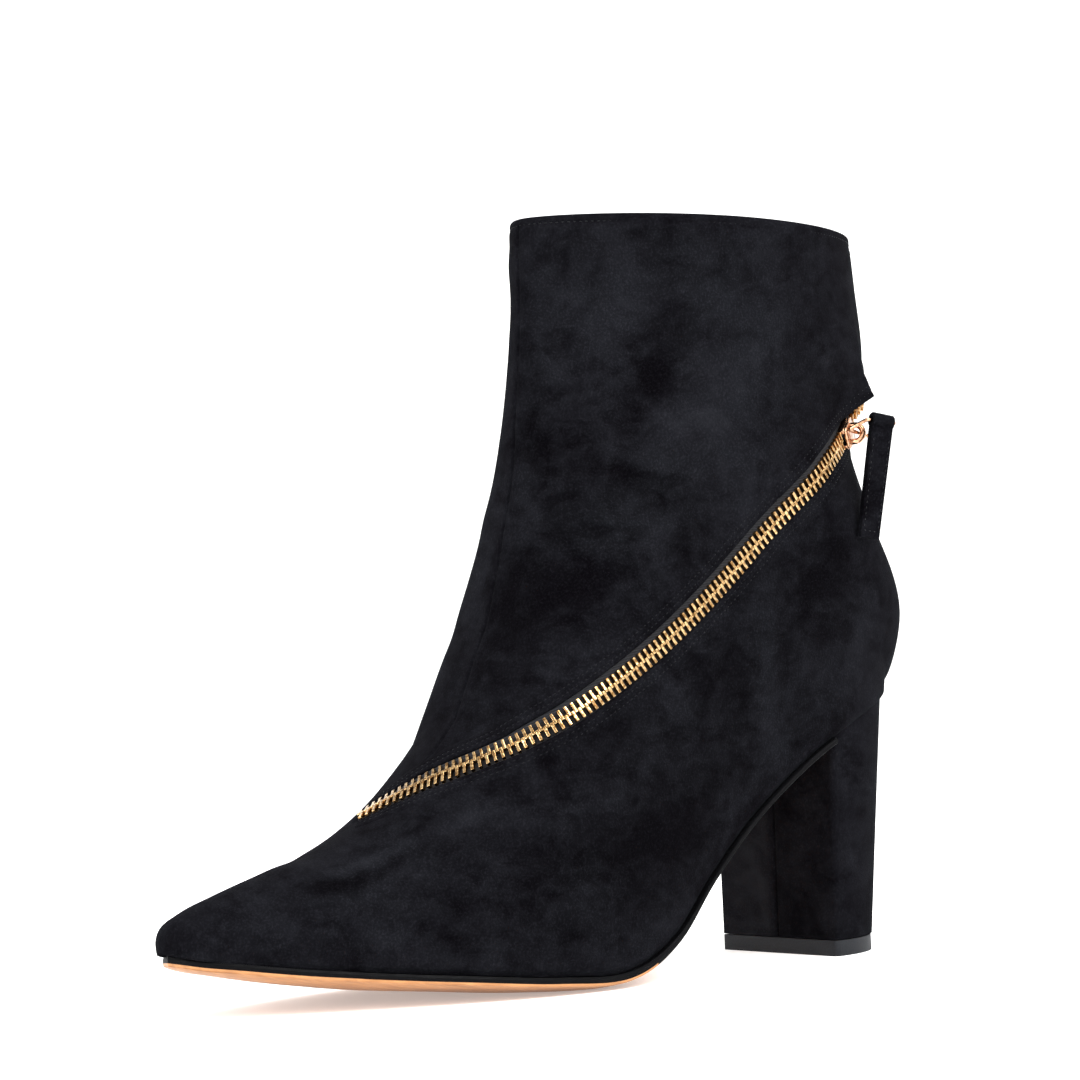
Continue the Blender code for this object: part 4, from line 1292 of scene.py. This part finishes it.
def make_tooth():
    """One tooth: a narrow leg from the tape's side and a wider head past the middle, with rounded edges."""
    bm = bmesh.new()
    bmesh.ops.create_cube(bm, size=1.0)
    tall = TOOTH_TOP - TOOTH_FOOT
    leg = TOOTH_REACH - TOOTH_NECK
    bmesh.ops.scale(bm, verts=bm.verts, vec=(2 * TOOTH_LEG_HALF, leg, tall))
    bmesh.ops.translate(bm, verts=bm.verts, vec=(0.0, TOOTH_REACH - leg / 2, TOOTH_FOOT + tall / 2))
    draw_out(bm, TOOTH_SHOULDER, TOOTH_HEAD_HALF / TOOTH_LEG_HALF)
    draw_out(bm, TOOTH_NECK - TOOTH_SHOULDER + TOOTH_PAST_MIDDLE, TOOTH_TIP)
    bmesh.ops.recalc_face_normals(bm, faces=bm.faces)
    upper_edges = [edge for edge in bm.edges if all(vert.co.z > 0.0 for vert in edge.verts)]
    round_edges(bm, upper_edges, TOOTH_ROUND)
    return bm


def make_teeth():
    """Both rows of teeth, each row half a pitch behind the other, parted behind the slider."""
    matrices = []
    for side in (1.0, -1.0):
        shift = 0.0 if side > 0 else TOOTH_PITCH / 2
        spots = np.arange(TEETH_MARGIN + shift, ZIP_LENGTH - TEETH_MARGIN, TOOTH_PITCH)
        spots = spots[np.abs(spots - SLIDER_AT) > SLIDER_CLEAR]
        middles, normals = beside_zip(spots, side * parting(spots, side))
        along, across = zip_axes(spots)[1:3]
        lifts = proud(spots) * CHAIN_LIFT if side > 0 else -pressed(spots) * CHAIN_PRESS
        wider = front_width(spots, side)
        for middle, normal, ahead, aside, lift, wide in zip(middles, normals, along, across, lifts, wider):
            aside = unit(aside - normal * aside.dot(normal))
            ahead = np.cross(aside, normal)
            matrices.append(placing(middle + normal * lift, ahead * side, aside * side * wide, normal))
    bm = copies(make_tooth(), matrices)
    print(len(matrices), "teeth")
    return finish_piece("zip_teeth", bm, (GOLD,), "boot", ("zip_chain",), sharp=35.0)


make_teeth()

# %% [markdown]
# ## Stitches
# Each stitch is a short length of thread whose two ends go into the suede. A stretched ball with few faces
# is enough at this size. The same ball makes the rows beside the zip and the row under the collar.

# %% Stitches
STITCH_PITCH = 1.7
STITCH_LENGTH = 0.8
STITCH_THICK = 0.3
STITCH_SINK = -0.05
STITCH_FROM = 5.0
STITCH_BEFORE_END = 4.0
STITCH_AHEAD = 0.5
COLLAR_STITCH_SINK = 0.7
COLLAR_STITCH_AHEAD = 0.6
COLLAR_STITCH_GAP = 0.5
COLLAR_SAMPLES = 801
BELOW_COLLAR = 0.1
# The part of the fold that faces outwards, where the stitches lie.
FOLD_FACE = FOLD_PROFILE[4:]


def make_stitch():
    """One stitch along X."""
    bm = bmesh.new()
    bmesh.ops.create_uvsphere(bm, u_segments=6, v_segments=5, radius=0.5)
    bmesh.ops.rotate(bm, verts=bm.verts, cent=(0, 0, 0), matrix=Matrix.Rotation(math.pi / 2, 3, "Y"))
    bmesh.ops.scale(bm, verts=bm.verts, vec=(STITCH_LENGTH, STITCH_THICK, STITCH_THICK))
    return bm


def zip_stitch_places():
    """Places of the stitches in two rows along each folded edge."""
    matrices = []
    spots = np.arange(STITCH_FROM, ZIP_LENGTH - STITCH_BEFORE_END, STITCH_PITCH)
    for side in (1, -1):
        for offset in STITCH_ROWS:
            beside = side * (opening_edge(spots, side) + offset)
            points, normals = beside_zip(spots, beside)
            before = beside_zip(spots - STITCH_AHEAD, beside)[0]
            ahead = unit(beside_zip(spots + STITCH_AHEAD, beside)[0] - before)
            level = np.interp(offset, FOLD_FACE[:, 0], FOLD_FACE[:, 1])
            heights = fold_height(spots, side, offset, level) + STITCH_SINK
            heights = heights + soft_spots(points, CREASES, CREASE_COLUMNS)
            for point, normal, along, height in zip(points, normals, ahead, heights):
                matrices.append(placing(point + normal * height, along, np.cross(normal, along), normal))
    return matrices


def collar_stitch_places():
    """Places of the stitches in one row under the collar's edge."""
    around = np.linspace(0.0, 2.0, COLLAR_SAMPLES)
    line = last_points(COLLAR_STATION, around)
    down = -unit(last_slopes(np.full(len(around), float(COLLAR_STATION)), around)[0])
    line = line + down * COLLAR_STITCH_AT
    measure = distances(line)
    matrices = []
    for spot in np.arange(0.0, measure[-1] - COLLAR_STITCH_GAP, STITCH_PITCH):
        way = np.interp(spot, measure, around)
        point = np.array([np.interp(spot, measure, column) for column in line.T])
        next_spot = spot + COLLAR_STITCH_AHEAD
        ahead = np.array([np.interp(next_spot, measure, column) for column in line.T])
        normal = last_normals(np.array([COLLAR_STATION - BELOW_COLLAR]), np.array([way]))[0]
        along = unit(ahead - point)
        sunk = point - normal * COLLAR_STITCH_DEPTH * COLLAR_STITCH_SINK
        matrices.append(placing(sunk, along, np.cross(normal, along), normal))
    return matrices


stitches = copies(make_stitch(), zip_stitch_places() + collar_stitch_places())
finish_piece("upper_stitches", stitches, (WORN_THREAD,), "boot")

# %% [markdown]
# ## Slider
# The slider is cast: a shield-shaped plate over the chain, two cheeks beside it, and a bridge on top that
# holds the pull's link. The plate is a drawn outline, extruded and rounded; the bridge is a bent bar.


# %% Plates and bars
def plate(bm, outline, low, high, rounding):
    """A plate of an outline between two heights, with rounded edges."""
    face = bm.faces.new([bm.verts.new((along, aside, low)) for along, aside in outline])
    grown = bmesh.ops.extrude_face_region(bm, geom=[face])["geom"]
    raised = corners_of(grown)
    bmesh.ops.translate(bm, verts=raised, vec=(0.0, 0.0, high - low))
    members = set(raised) | set(face.verts)
    edges = [edge for edge in bm.edges if edge.verts[0] in members and edge.verts[1] in members]
    bmesh.ops.recalc_face_normals(bm, faces=[item for item in bm.faces if item.verts[0] in members])
    round_edges(bm, edges, rounding)


def bent_bar(points, radius, cyclic=False, sides=4):
    """A round bar along points, as a mesh."""
    path = bpy.data.curves.new("bar", "CURVE")
    path.dimensions = "3D"
    path.bevel_depth = radius
    path.bevel_resolution = sides
    path.use_fill_caps = not cyclic
    spline = path.splines.new("POLY")
    spline.points.add(len(points) - 1)
    spline.use_cyclic_u = cyclic
    for corner, point in zip(spline.points, points):
        corner.co = (*point, 1.0)
    guide = bpy.data.objects.new("bar", path)
    bpy.context.scene.collection.objects.link(guide)
    bpy.context.view_layer.update()
    mesh = bpy.data.meshes.new_from_object(guide.evaluated_get(bpy.context.evaluated_depsgraph_get()))
    bpy.data.objects.remove(guide, do_unlink=True)
    bpy.data.curves.remove(path)
    return mesh


print("plate and bar helpers ready")

# %% Slider
SLIDER_HALF_LENGTH = 4.5
SLIDER_HALF_WIDTH = 4.3
SLIDER_TAIL_HALF = 3.4
SLIDER_PLATE_FROM = 1.4
SLIDER_TOP = 2.4
CHEEK_WIDE = 0.9
BRIDGE_RADIUS = 2.5
BRIDGE_LEG = 1.6
BRIDGE_SINK = 0.5
BRIDGE_WIRE = 0.9
BRIDGE_STEPS = 12
PLATE_ROUND = 0.35
CHEEK_ROUND = 0.2
CHEEK_FOOT = -0.2
CHEEK_OVERLAP = 0.3
pull_joint = frame["joints"][0]
HINGE_AXIS = unit(-np.array(pull_joint["axis"], float))
HINGE_AT = np.array(pull_joint["pos_m"], float) / MM - STANDS_AT


def shield_outline():
    """Half of the plate's outline, from the tail to the nose: along and half width."""
    return (
        (-SLIDER_HALF_LENGTH, SLIDER_TAIL_HALF * 0.8),
        (-SLIDER_HALF_LENGTH * 0.8, SLIDER_TAIL_HALF),
        (0.0, SLIDER_TAIL_HALF * 1.06),
        (SLIDER_HALF_LENGTH * 0.5, SLIDER_HALF_WIDTH),
        (SLIDER_HALF_LENGTH * 0.85, SLIDER_HALF_WIDTH * 0.95),
        (SLIDER_HALF_LENGTH, SLIDER_HALF_WIDTH * 0.62),
    )


def make_slider():
    """The slider on the zip's line, and its bridge over the pull's hinge."""
    point, along, across, out = (item[0] for item in zip_axes(np.array([SLIDER_AT])))
    bm = bmesh.new()
    half = shield_outline()
    outline = list(half) + [(ahead, -aside) for ahead, aside in reversed(half)]
    plate(bm, outline, SLIDER_PLATE_FROM, SLIDER_TOP, PLATE_ROUND)
    for side in (1, -1):
        cheek = [(ahead, side * aside) for ahead, aside in half]
        cheek += [(ahead, side * (aside - CHEEK_WIDE)) for ahead, aside in reversed(half)]
        plate(bm, cheek, CHEEK_FOOT, SLIDER_PLATE_FROM + CHEEK_OVERLAP, CHEEK_ROUND)
    mesh = bpy.data.meshes.new("slider")
    bm.to_mesh(mesh)
    bm.free()
    mesh.transform(placing(point, along, across, out))
    joined = bmesh.new()
    joined.from_mesh(mesh)
    rise = unit(np.cross(HINGE_AXIS, out))
    foot = point + out * (SLIDER_TOP - BRIDGE_SINK)
    arch = [foot + rise * BRIDGE_RADIUS]
    for step in range(BRIDGE_STEPS + 1):
        turn = math.pi * step / BRIDGE_STEPS
        lift = out * (BRIDGE_RADIUS * math.sin(turn) + BRIDGE_LEG)
        arch.append(foot + rise * BRIDGE_RADIUS * math.cos(turn) + lift)
    arch.append(foot - rise * BRIDGE_RADIUS)
    joined.from_mesh(bent_bar(to_frame(np.array(arch)), BRIDGE_WIRE * MM))
    bmesh.ops.recalc_face_normals(joined, faces=joined.faces)
    return finish_piece(
        "cast_slider", joined, (ROSE_GOLD,), "boot", ("zip_slider",), sharp=50.0,
    )


make_slider()

# %% [markdown]
# ## Pull
# A wire link hangs in the bridge, and a folded suede tab hangs on the link. Both ride on the body that
# swings. The tab's side shows that it is one strip folded over the wire, so its profile is drawn as a loop
# with two legs and a thin gap between them, and extruded to the tab's width.

# %% Link
LINK_WIRE = 0.6
LINK_HALF_WIDTH = 5.4
LINK_REACH = 8.4
LINK_BAR_FRONT = 4.85
LINK_BAR_BACK = 4.4
LINK_KNEE = 3.4
LINK_CORNER = 0.8
LINK_RISE = math.radians(20.0)
UP = np.array((0.0, 0.0, 1.0))
PULL_OUT = unit(np.cross(HINGE_AXIS, UP))
PULL_UP = np.cross(PULL_OUT, HINGE_AXIS)
LINK_DIRECTION = PULL_OUT * math.cos(LINK_RISE) + PULL_UP * math.sin(LINK_RISE)
TAB_TWIST = math.radians(33.0)
TAB_AXIS = HINGE_AXIS * math.cos(TAB_TWIST) + PULL_OUT * math.sin(TAB_TWIST)
TAB_OUT = PULL_OUT * math.cos(TAB_TWIST) - HINGE_AXIS * math.sin(TAB_TWIST)
CORNER_STEPS = 5


def link_points():
    """Points round the link: its inner bar lies on the hinge, its outer bar carries the tab."""
    bar = LINK_DIRECTION * LINK_REACH
    back = bar + TAB_AXIS * LINK_BAR_BACK
    corners = np.array((
        HINGE_AXIS * LINK_HALF_WIDTH,
        back - TAB_OUT * LINK_KNEE,
        back,
        bar - TAB_AXIS * LINK_BAR_FRONT,
        -HINGE_AXIS * LINK_HALF_WIDTH,
    ))
    points = []
    for before, corner, after in zip(np.roll(corners, 1, axis=0), corners, np.roll(corners, -1, axis=0)):
        start = corner + unit(before - corner) * LINK_CORNER
        end = corner + unit(after - corner) * LINK_CORNER
        for share in np.linspace(0.0, 1.0, CORNER_STEPS):
            bend = (1 - share) ** 2 * start + 2 * share * (1 - share) * corner + share ** 2 * end
            points.append(HINGE_AT + bend)
    return np.array(points)


link = bmesh.new()
link.from_mesh(bent_bar(to_frame(link_points()), LINK_WIRE * MM, cyclic=True))
bmesh.ops.recalc_face_normals(link, faces=link.faces)
finish_piece("pull_wire", link, (ROSE_GOLD,), "zip_pull", ("pull_link",), sharp=50.0)

# %% Tab
TAB_LENGTH = 35.0
TAB_HALF_WIDTH = 3.5
TAB_LEG = 1.25
TAB_GAP = 0.07
TAB_LOOP_INSIDE = 0.95
TAB_LOOP_OUTSIDE = 2.25
TAB_NECK = 5.4
TAB_LEAN = math.radians(3.0)
TAB_TAPER = 0.90
TAB_ROUND = 0.4
TAB_ASKEW = math.radians(4.0)
TAB_FACE = TAB_OUT * math.cos(TAB_LEAN) - PULL_UP * math.sin(TAB_LEAN)
TAB_DOWN = np.cross(TAB_AXIS, TAB_FACE) * math.cos(TAB_ASKEW) - TAB_AXIS * math.sin(TAB_ASKEW)
TAB_SIDE = np.cross(TAB_FACE, TAB_DOWN)
TAB_BAR = HINGE_AT + LINK_DIRECTION * LINK_REACH
LOOP_STEPS = 16


def loop_arc(radius, neck_half):
    """Points of a loop's arc over the bar, open below by the legs' half thickness."""
    start = math.asin(min(neck_half / radius, 1.0))
    turns = np.linspace(start, 2 * math.pi - start, LOOP_STEPS + 1)
    return [(radius * math.cos(turn), radius * math.sin(turn)) for turn in turns]


def tab_profile():
    """The folded strip from the side, down and out: outer leg, loop, inner leg, then the gap between."""
    half = TAB_LEG + TAB_GAP
    outer = [(TAB_LENGTH, half), (TAB_NECK, half)]
    outer += loop_arc(TAB_LOOP_OUTSIDE, half)
    outer += [(TAB_NECK, -half), (TAB_LENGTH, -half)]
    inner = [(TAB_LENGTH, -TAB_GAP)]
    inner += reversed(loop_arc(TAB_LOOP_INSIDE, TAB_GAP))
    inner += [(TAB_LENGTH, TAB_GAP)]
    return outer + inner


def make_tab():
    """The folded tab: its profile extruded to its width, narrowed towards its end, with soft edges."""
    bm = bmesh.new()
    profile = tab_profile()
    corners = [bm.verts.new((down, 0.0, out)) for down, out in profile]
    edges = [bm.edges.new(pair) for pair in zip(corners, corners[1:] + corners[:1])]
    grown = bmesh.ops.extrude_edge_only(bm, edges=edges)["geom"]
    far = corners_of(grown)
    bmesh.ops.translate(bm, verts=far, vec=(0.0, 2 * TAB_HALF_WIDTH, 0.0))
    bmesh.ops.translate(bm, verts=bm.verts, vec=(0.0, -TAB_HALF_WIDTH, 0.0))
    bmesh.ops.holes_fill(bm, edges=bm.edges, sides=0)
    bmesh.ops.recalc_face_normals(bm, faces=bm.faces)
    rim = [edge for edge in bm.edges if abs(edge.verts[0].co.y - edge.verts[1].co.y) < 1e-6]
    rim = [edge for edge in rim if max(abs(vert.co.z) for vert in edge.verts) > 2 * TAB_GAP]
    round_edges(bm, rim, TAB_ROUND)
    for vert in bm.verts:
        share = np.clip(vert.co.x / TAB_LENGTH, 0.0, 1.0)
        vert.co.y *= 1.0 - (1.0 - TAB_TAPER) * share
    bmesh.ops.triangulate(bm, faces=[face for face in bm.faces if len(face.verts) > 4])
    bmesh.ops.transform(bm, matrix=placing(TAB_BAR, TAB_DOWN, TAB_SIDE, TAB_FACE), verts=bm.verts)
    bmesh.ops.recalc_face_normals(bm, faces=bm.faces)
    return finish_piece("suede_tab", bm, (PLAIN_SUEDE,), "zip_pull", ("pull_tab",), sharp=40.0)


make_tab()

# %% Tab stitches
TAB_STITCH_INSET = 0.9
TAB_STITCH_FROM = 6.0
TAB_STITCH_TO = TAB_LENGTH - 2.0
TAB_STITCH_PITCH = 1.7
TAB_STITCH_SHRINK = 0.8
TAB_STITCH_ACROSS = 1.9
TAB_CROSS_PITCH = TAB_STITCH_PITCH * 0.9


def make_tab_stitches():
    """Stitches down both long edges and across the lower end, on both faces of the tab."""
    matrices = []
    half = TAB_LEG + TAB_GAP
    small = Matrix.Diagonal((TAB_STITCH_SHRINK,) * 3).to_4x4()
    for face in (1, -1):
        out = TAB_FACE * face
        for spot in np.arange(TAB_STITCH_FROM, TAB_STITCH_TO, TAB_STITCH_PITCH):
            wide = TAB_HALF_WIDTH * (1.0 - (1.0 - TAB_TAPER) * spot / TAB_LENGTH) - TAB_STITCH_INSET
            for side in (1, -1):
                point = TAB_BAR + TAB_DOWN * spot + TAB_SIDE * side * wide + out * half
                matrices.append(placing(point, TAB_DOWN, np.cross(out, TAB_DOWN), out) @ small)
        for aside in np.arange(-TAB_STITCH_ACROSS, TAB_STITCH_ACROSS, TAB_CROSS_PITCH):
            point = TAB_BAR + TAB_DOWN * TAB_STITCH_TO + TAB_SIDE * aside + out * half
            matrices.append(placing(point, TAB_SIDE, np.cross(out, TAB_SIDE), out) @ small)
    bm = copies(make_stitch(), matrices)
    return finish_piece("tab_stitches", bm, (THREAD,), "zip_pull")


make_tab_stitches()

# %% [markdown]
# ## Sole
# The outsole is a thin layer under the upper. Its inked edge stands a little proud, and its tan underside
# is full in the middle and worn flat where it meets the floor. One ring of places, top, edge and underside,
# is carried from the toe to the heel's breast.

# %% The sole's outline
SOLE_MARGIN = 1.3
SOLE_SET_BACK = 3.4
SET_BACK_FROM = 0.82
LINE_STEP = 0.05
STATION_SAMPLES = 2001


def edge_points(station, side):
    """Points of the upper's lower edge on one side."""
    station = np.asarray(station, float)
    size = section_sizes(station)
    foot = size["foot_out"] if side > 0 else size["foot_in"]
    return np.stack((side * foot + size["shift"], -size["sole_at"], size["sole_level"]), axis=-1)


def set_back(along):
    """How far the sole's outline stays behind the upper's near the toe."""
    share = np.maximum(along / LENGTH - SET_BACK_FROM, 0.0) / (1.0 - SET_BACK_FROM)
    return SOLE_SET_BACK * share ** 2


def station_of(along):
    """The station of the sole that lies a distance in front of the heel's back."""
    stations = np.linspace(0.0, BACK_STATION, STATION_SAMPLES)
    places = section_sizes(stations)["sole_at"]
    return np.interp(-np.asarray(along), -places, stations)


def sole_lines(station, side, margin):
    """The lower edge moved outwards in plan by a margin, and back from the toe."""
    last = BACK_STATION - LINE_STEP
    before = edge_points(np.maximum(station - LINE_STEP, 0.0), side)
    start = station < LINE_STEP
    before[start] = edge_points(np.full(start.sum(), LINE_STEP), -side)
    after = edge_points(np.minimum(station + LINE_STEP, BACK_STATION), side)
    end = station > last
    after[end] = edge_points(np.full(end.sum(), last), -side)
    tangent = after - before
    outwards = side * np.stack((tangent[:, 1], -tangent[:, 0], np.zeros(len(tangent))), axis=-1)
    points = edge_points(station, side) + margin * unit(outwards)
    behind = set_back(-points[:, 1])
    points[:, 1] += behind
    level = section_sizes(station_of(-points[:, 1]))["sole_level"]
    points[:, 2] = np.where(behind > 0.0, level, points[:, 2])
    return points


print("the sole starts at station 0 and ends near", station_of(HEEL_AT_SEAT["breast_at"]).round(2))

# %% Outsole
SOLE_EDGE = 2.2
SOLE_FULLNESS = 3.0
SOLE_FULL_POWER = 2.5
SOLE_FULL_WIDTH = 30.0
SOLE_HEEL_GAP = 3 * FIT
SOLE_ROWS = 150
SOLE_TOP_STEPS = 6
SOLE_UNDER_STEPS = 30
SOLE_CORNER = 0.45
INK_DEPTH = 1.4
INK_WAIST = 8.6
SOLE_NEST = 0.03
WAIST_FROM = 8.0
WAIST_THIN = 0.4
SOLE_SWELL = 0.25
CORNER_ARC = np.radians((0.0, 30.0, 60.0, 90.0))
WAIST_FADE = 2.0
TOE_CROWDING = 1.5
SOLE_TOP_SPAN = (0.02, 0.98)
SOLE_UNDER_SPAN = (0.985, 0.015)
MOST_INSET = 0.45
SWELL_HALF = 0.4


def sole_edge(share, downwards):
    """The sole's edge on one side: one rounded corner, the ink's lower limit and the other corner."""
    inset = SOLE_CORNER * (1 - np.sin(CORNER_ARC))
    rounding = SOLE_CORNER * (1 - np.cos(CORNER_ARC))
    top = [(share, *corner, 0.0) for corner in zip(inset, rounding)]
    low = [(share, *corner, 0.0) for corner in zip(inset, SOLE_EDGE - rounding)]
    middle = [(share, 0.0, INK_DEPTH, 0.0)]
    return top + middle + low[::-1] if downwards else low + middle + top[::-1]


def sole_ring():
    """One ring of the sole: share across, inset from the edge, drop below the top, underside's weight."""
    top = [(share, 0.0, 0.0, 0.0) for share in np.linspace(*SOLE_TOP_SPAN, SOLE_TOP_STEPS)]
    under = [(share, 0.0, SOLE_EDGE, 1.0) for share in np.linspace(*SOLE_UNDER_SPAN, SOLE_UNDER_STEPS)]
    return np.array(top + sole_edge(1.0, True) + under + sole_edge(0.0, False))


def make_outsole():
    """The sole from the toe to the heel's breast, inked round its edge and tan underneath."""
    end = float(station_of(HEEL_AT_SEAT["breast_at"] + SOLE_HEEL_GAP))
    station_at = end * np.linspace(0.0, 1.0, SOLE_ROWS + 1) ** TOE_CROWDING
    ring = sole_ring()
    ring = np.vstack((ring, ring[:1]))

    def place(column, row):
        station = station_at[row]
        outer = sole_lines(station, 1, SOLE_MARGIN)
        inner = sole_lines(station, -1, SOLE_MARGIN)
        share, inset, drop, under = ring[column].T
        width = np.linalg.norm(inner - outer, axis=1)
        inset = np.minimum(inset, MOST_INSET * width) / np.maximum(width, MM)
        inset = np.where(share > 0.5, -inset, inset)
        points = outer + (inner - outer) * (share + inset)[:, None]
        full = SOLE_FULLNESS * np.minimum(1.0, width / 2 / SOLE_FULL_WIDTH)
        full = full * (1 - np.abs(2 * share - 1) ** SOLE_FULL_POWER) * under
        drop = drop * (1.0 - WAIST_THIN * soft_step((station - WAIST_FROM) / WAIST_FADE))
        nested = np.where(drop > 0.0, FIT, SOLE_NEST - SOLE_SWELL * (np.abs(share - 0.5) < SWELL_HALF))
        points[:, 2] = np.maximum(points[:, 2] - nested - drop - full, 0.0)
        return points

    bm, column, row = placed_grid(len(ring) - 1, SOLE_ROWS, place)
    tan = (ring[column, 3] > 0.5) | ((ring[column, 2] > INK_DEPTH - MM) & (station_at[row] < INK_WAIST))
    tan_of = dict(zip(bm.verts, tan))
    for face in bm.faces:
        face.material_index = int(all(tan_of[vert] for vert in face.verts))
    close_piece(bm)
    return finish_piece(
        "tan_outsole", bm, (EDGE_INK, TAN_SOLE), "boot", ("outsole",), sharp=50.0,
    )


make_outsole()

# %% [markdown]
# ## Insole
# Inside lies a thin padded sock of lining leather. It is a crowned sheet with a rounded edge, made like the
# sole as one ring carried along the foot.

# %% Insole
INSOLE_CLEARANCE = WALL + 1.5
INSOLE_THICKNESS = 2.0
INSOLE_CROWN = 0.5
INSOLE_FIRST = 1.6
INSOLE_ROWS = 90
INSOLE_STEPS = 16
INSOLE_EDGE_POWER = 0.35


def make_insole():
    """The sock: flat underneath, crowned on top and thin at its edge."""
    station_at = np.linspace(INSOLE_FIRST, BACK_STATION, INSOLE_ROWS + 1)
    turns = np.linspace(0.0, 2 * math.pi, 2 * INSOLE_STEPS + 1)

    def place(column, row):
        station = station_at[row]
        outer = sole_lines(station, 1, -INSOLE_CLEARANCE)
        inner = sole_lines(station, -1, -INSOLE_CLEARANCE)
        turn = turns[column]
        share = 0.5 - 0.5 * np.cos(turn)
        points = outer + (inner - outer) * share[:, None]
        on_top = np.sin(turn) >= 0
        round_edge = np.abs(np.sin(turn)) ** INSOLE_EDGE_POWER
        top = FIT + INSOLE_THICKNESS * round_edge + INSOLE_CROWN * np.sin(turn) ** 2
        points[:, 2] += np.where(on_top, top, FIT)
        return points

    bm, _, _ = placed_grid(2 * INSOLE_STEPS, INSOLE_ROWS, place)
    close_piece(bm)
    return finish_piece("insole_sock", bm, (LINING,), "boot", ("insole",))


make_insole()

# %% [markdown]
# ## Heel
# The heel is a block covered in the same suede, round behind and flat in front, where the cover's edges
# meet in an upright seam. Its outline is drawn once, with the seam as a small notch, and extruded from the
# lift up to the seat.

# %% Heel block
HEEL_ROUND_STEPS = 72
HEEL_CORNER = 1.6
HEEL_CORNER_STEPS = 4
HEEL_FLAT_STEPS = 8
HEEL_LEVELS = 14
COVER_SEAM_HALF = 0.7
COVER_SEAM_DEPTH = 0.55
SEAM_SHOULDER_AT = 0.45
SEAM_SHOULDER_DEPTH = 0.35
# How much lighter the breast's inner half is painted, as painted light in the arch's shade, and its fade.
BREAST_PAINTED_LIGHT = 0.34
BREAST_FADE = 5.0


def heel_outline(share, seam):
    """Corners of the heel's outline at a share of its height, counted round from the outer breast corner."""
    size = {name: low + (HEEL_AT_SEAT[name] - low) * share for name, low in HEEL_ON_FLOOR.items()}
    half = size["half_width"]
    breast = -size["breast_at"]
    deep = size["breast_at"] - size["back_at"]
    start = math.asin(HEEL_CORNER / deep)
    turns = np.linspace(start, math.pi - start, HEEL_ROUND_STEPS + 1)
    points = [(half * math.cos(turn), breast + deep * math.sin(turn)) for turn in turns[:-1]]
    corner = []
    for turn in np.linspace(0.0, math.pi / 2, HEEL_CORNER_STEPS + 1):
        beside = -half + HEEL_CORNER * (1 - math.cos(turn))
        corner.append((beside, breast + HEEL_CORNER * (1 - math.sin(turn))))
    beside_seam = np.linspace(-half + HEEL_CORNER, -COVER_SEAM_HALF, HEEL_FLAT_STEPS)
    flat = [(across, breast) for across in beside_seam[1:]]
    shoulder = (-COVER_SEAM_HALF * SEAM_SHOULDER_AT, breast + seam * SEAM_SHOULDER_DEPTH)
    notch = [shoulder, (0.0, breast + seam)]
    left = corner + flat + notch
    right = [(-across, along) for across, along in reversed(left[:-1])]
    return points + left + right


def make_heel_cover():
    """The covered block. Its top follows the seat of the upper; its breast's inner half is painted lighter.
    """
    low_share = LIFT_HEIGHT / HEEL_HEIGHT
    levels = np.linspace(low_share, 1.0, HEEL_LEVELS + 1)
    outlines = [heel_outline(share, COVER_SEAM_DEPTH) for share in levels]
    rings = np.array([outline + outline[:1] for outline in outlines])
    foot = LIFT_HEIGHT + FIT
    climb = np.linspace(0.0, 1.0, HEEL_LEVELS + 1)
    breast = rings[:, :, 1].min(axis=1) + HEEL_CORNER
    nap_and_light = {}

    def place(column, row):
        flat = rings[row, column]
        # Painted light: the breast's inner half is lighter where the arch shades it.
        painted_light_half = soft_step(-flat[:, 0] / BREAST_FADE) * (flat[:, 1] < breast[row])
        nap_and_light["lean"] = COVER_LEAN + BREAST_PAINTED_LIGHT * painted_light_half
        top = rings[HEEL_LEVELS, column]
        seat = section_sizes(station_of(-top[:, 1]))["sole_level"] - FIT
        height = foot + (seat - foot) * climb[row]
        return np.column_stack((flat, height))

    bm, _, _ = placed_grid(rings.shape[1] - 1, HEEL_LEVELS, place)
    store_nap_and_light(bm, nap_and_light["lean"])
    close_piece(bm)
    return finish_piece("heel_cover", bm, (SUEDE,), "boot", ("heel_block",), sharp=50.0)


make_heel_cover()

# %% Heel lift
LIFT_ROUND = 0.35


def make_heel_lift():
    """The rubber lift, with its lower and upper edges a little rounded."""
    bm = bmesh.new()
    ring = to_frame([(across, along, 0.0) for across, along in heel_outline(0.0, 0.0)])
    base = bm.faces.new([bm.verts.new(point) for point in ring])
    grown = bmesh.ops.extrude_face_region(bm, geom=[base])["geom"]
    raised = corners_of(grown)
    bmesh.ops.translate(bm, verts=raised, vec=(0.0, 0.0, LIFT_HEIGHT * MM))
    bmesh.ops.recalc_face_normals(bm, faces=bm.faces)
    rims = [edge for edge in bm.edges if abs(edge.verts[0].co.z - edge.verts[1].co.z) < 1e-7]
    round_edges(bm, rims, LIFT_ROUND * MM)
    bmesh.ops.triangulate(bm, faces=[face for face in bm.faces if len(face.verts) > 4])
    return finish_piece("rubber_lift", bm, (RUBBER,), "boot", ("heel_lift",), sharp=50.0)


make_heel_lift()
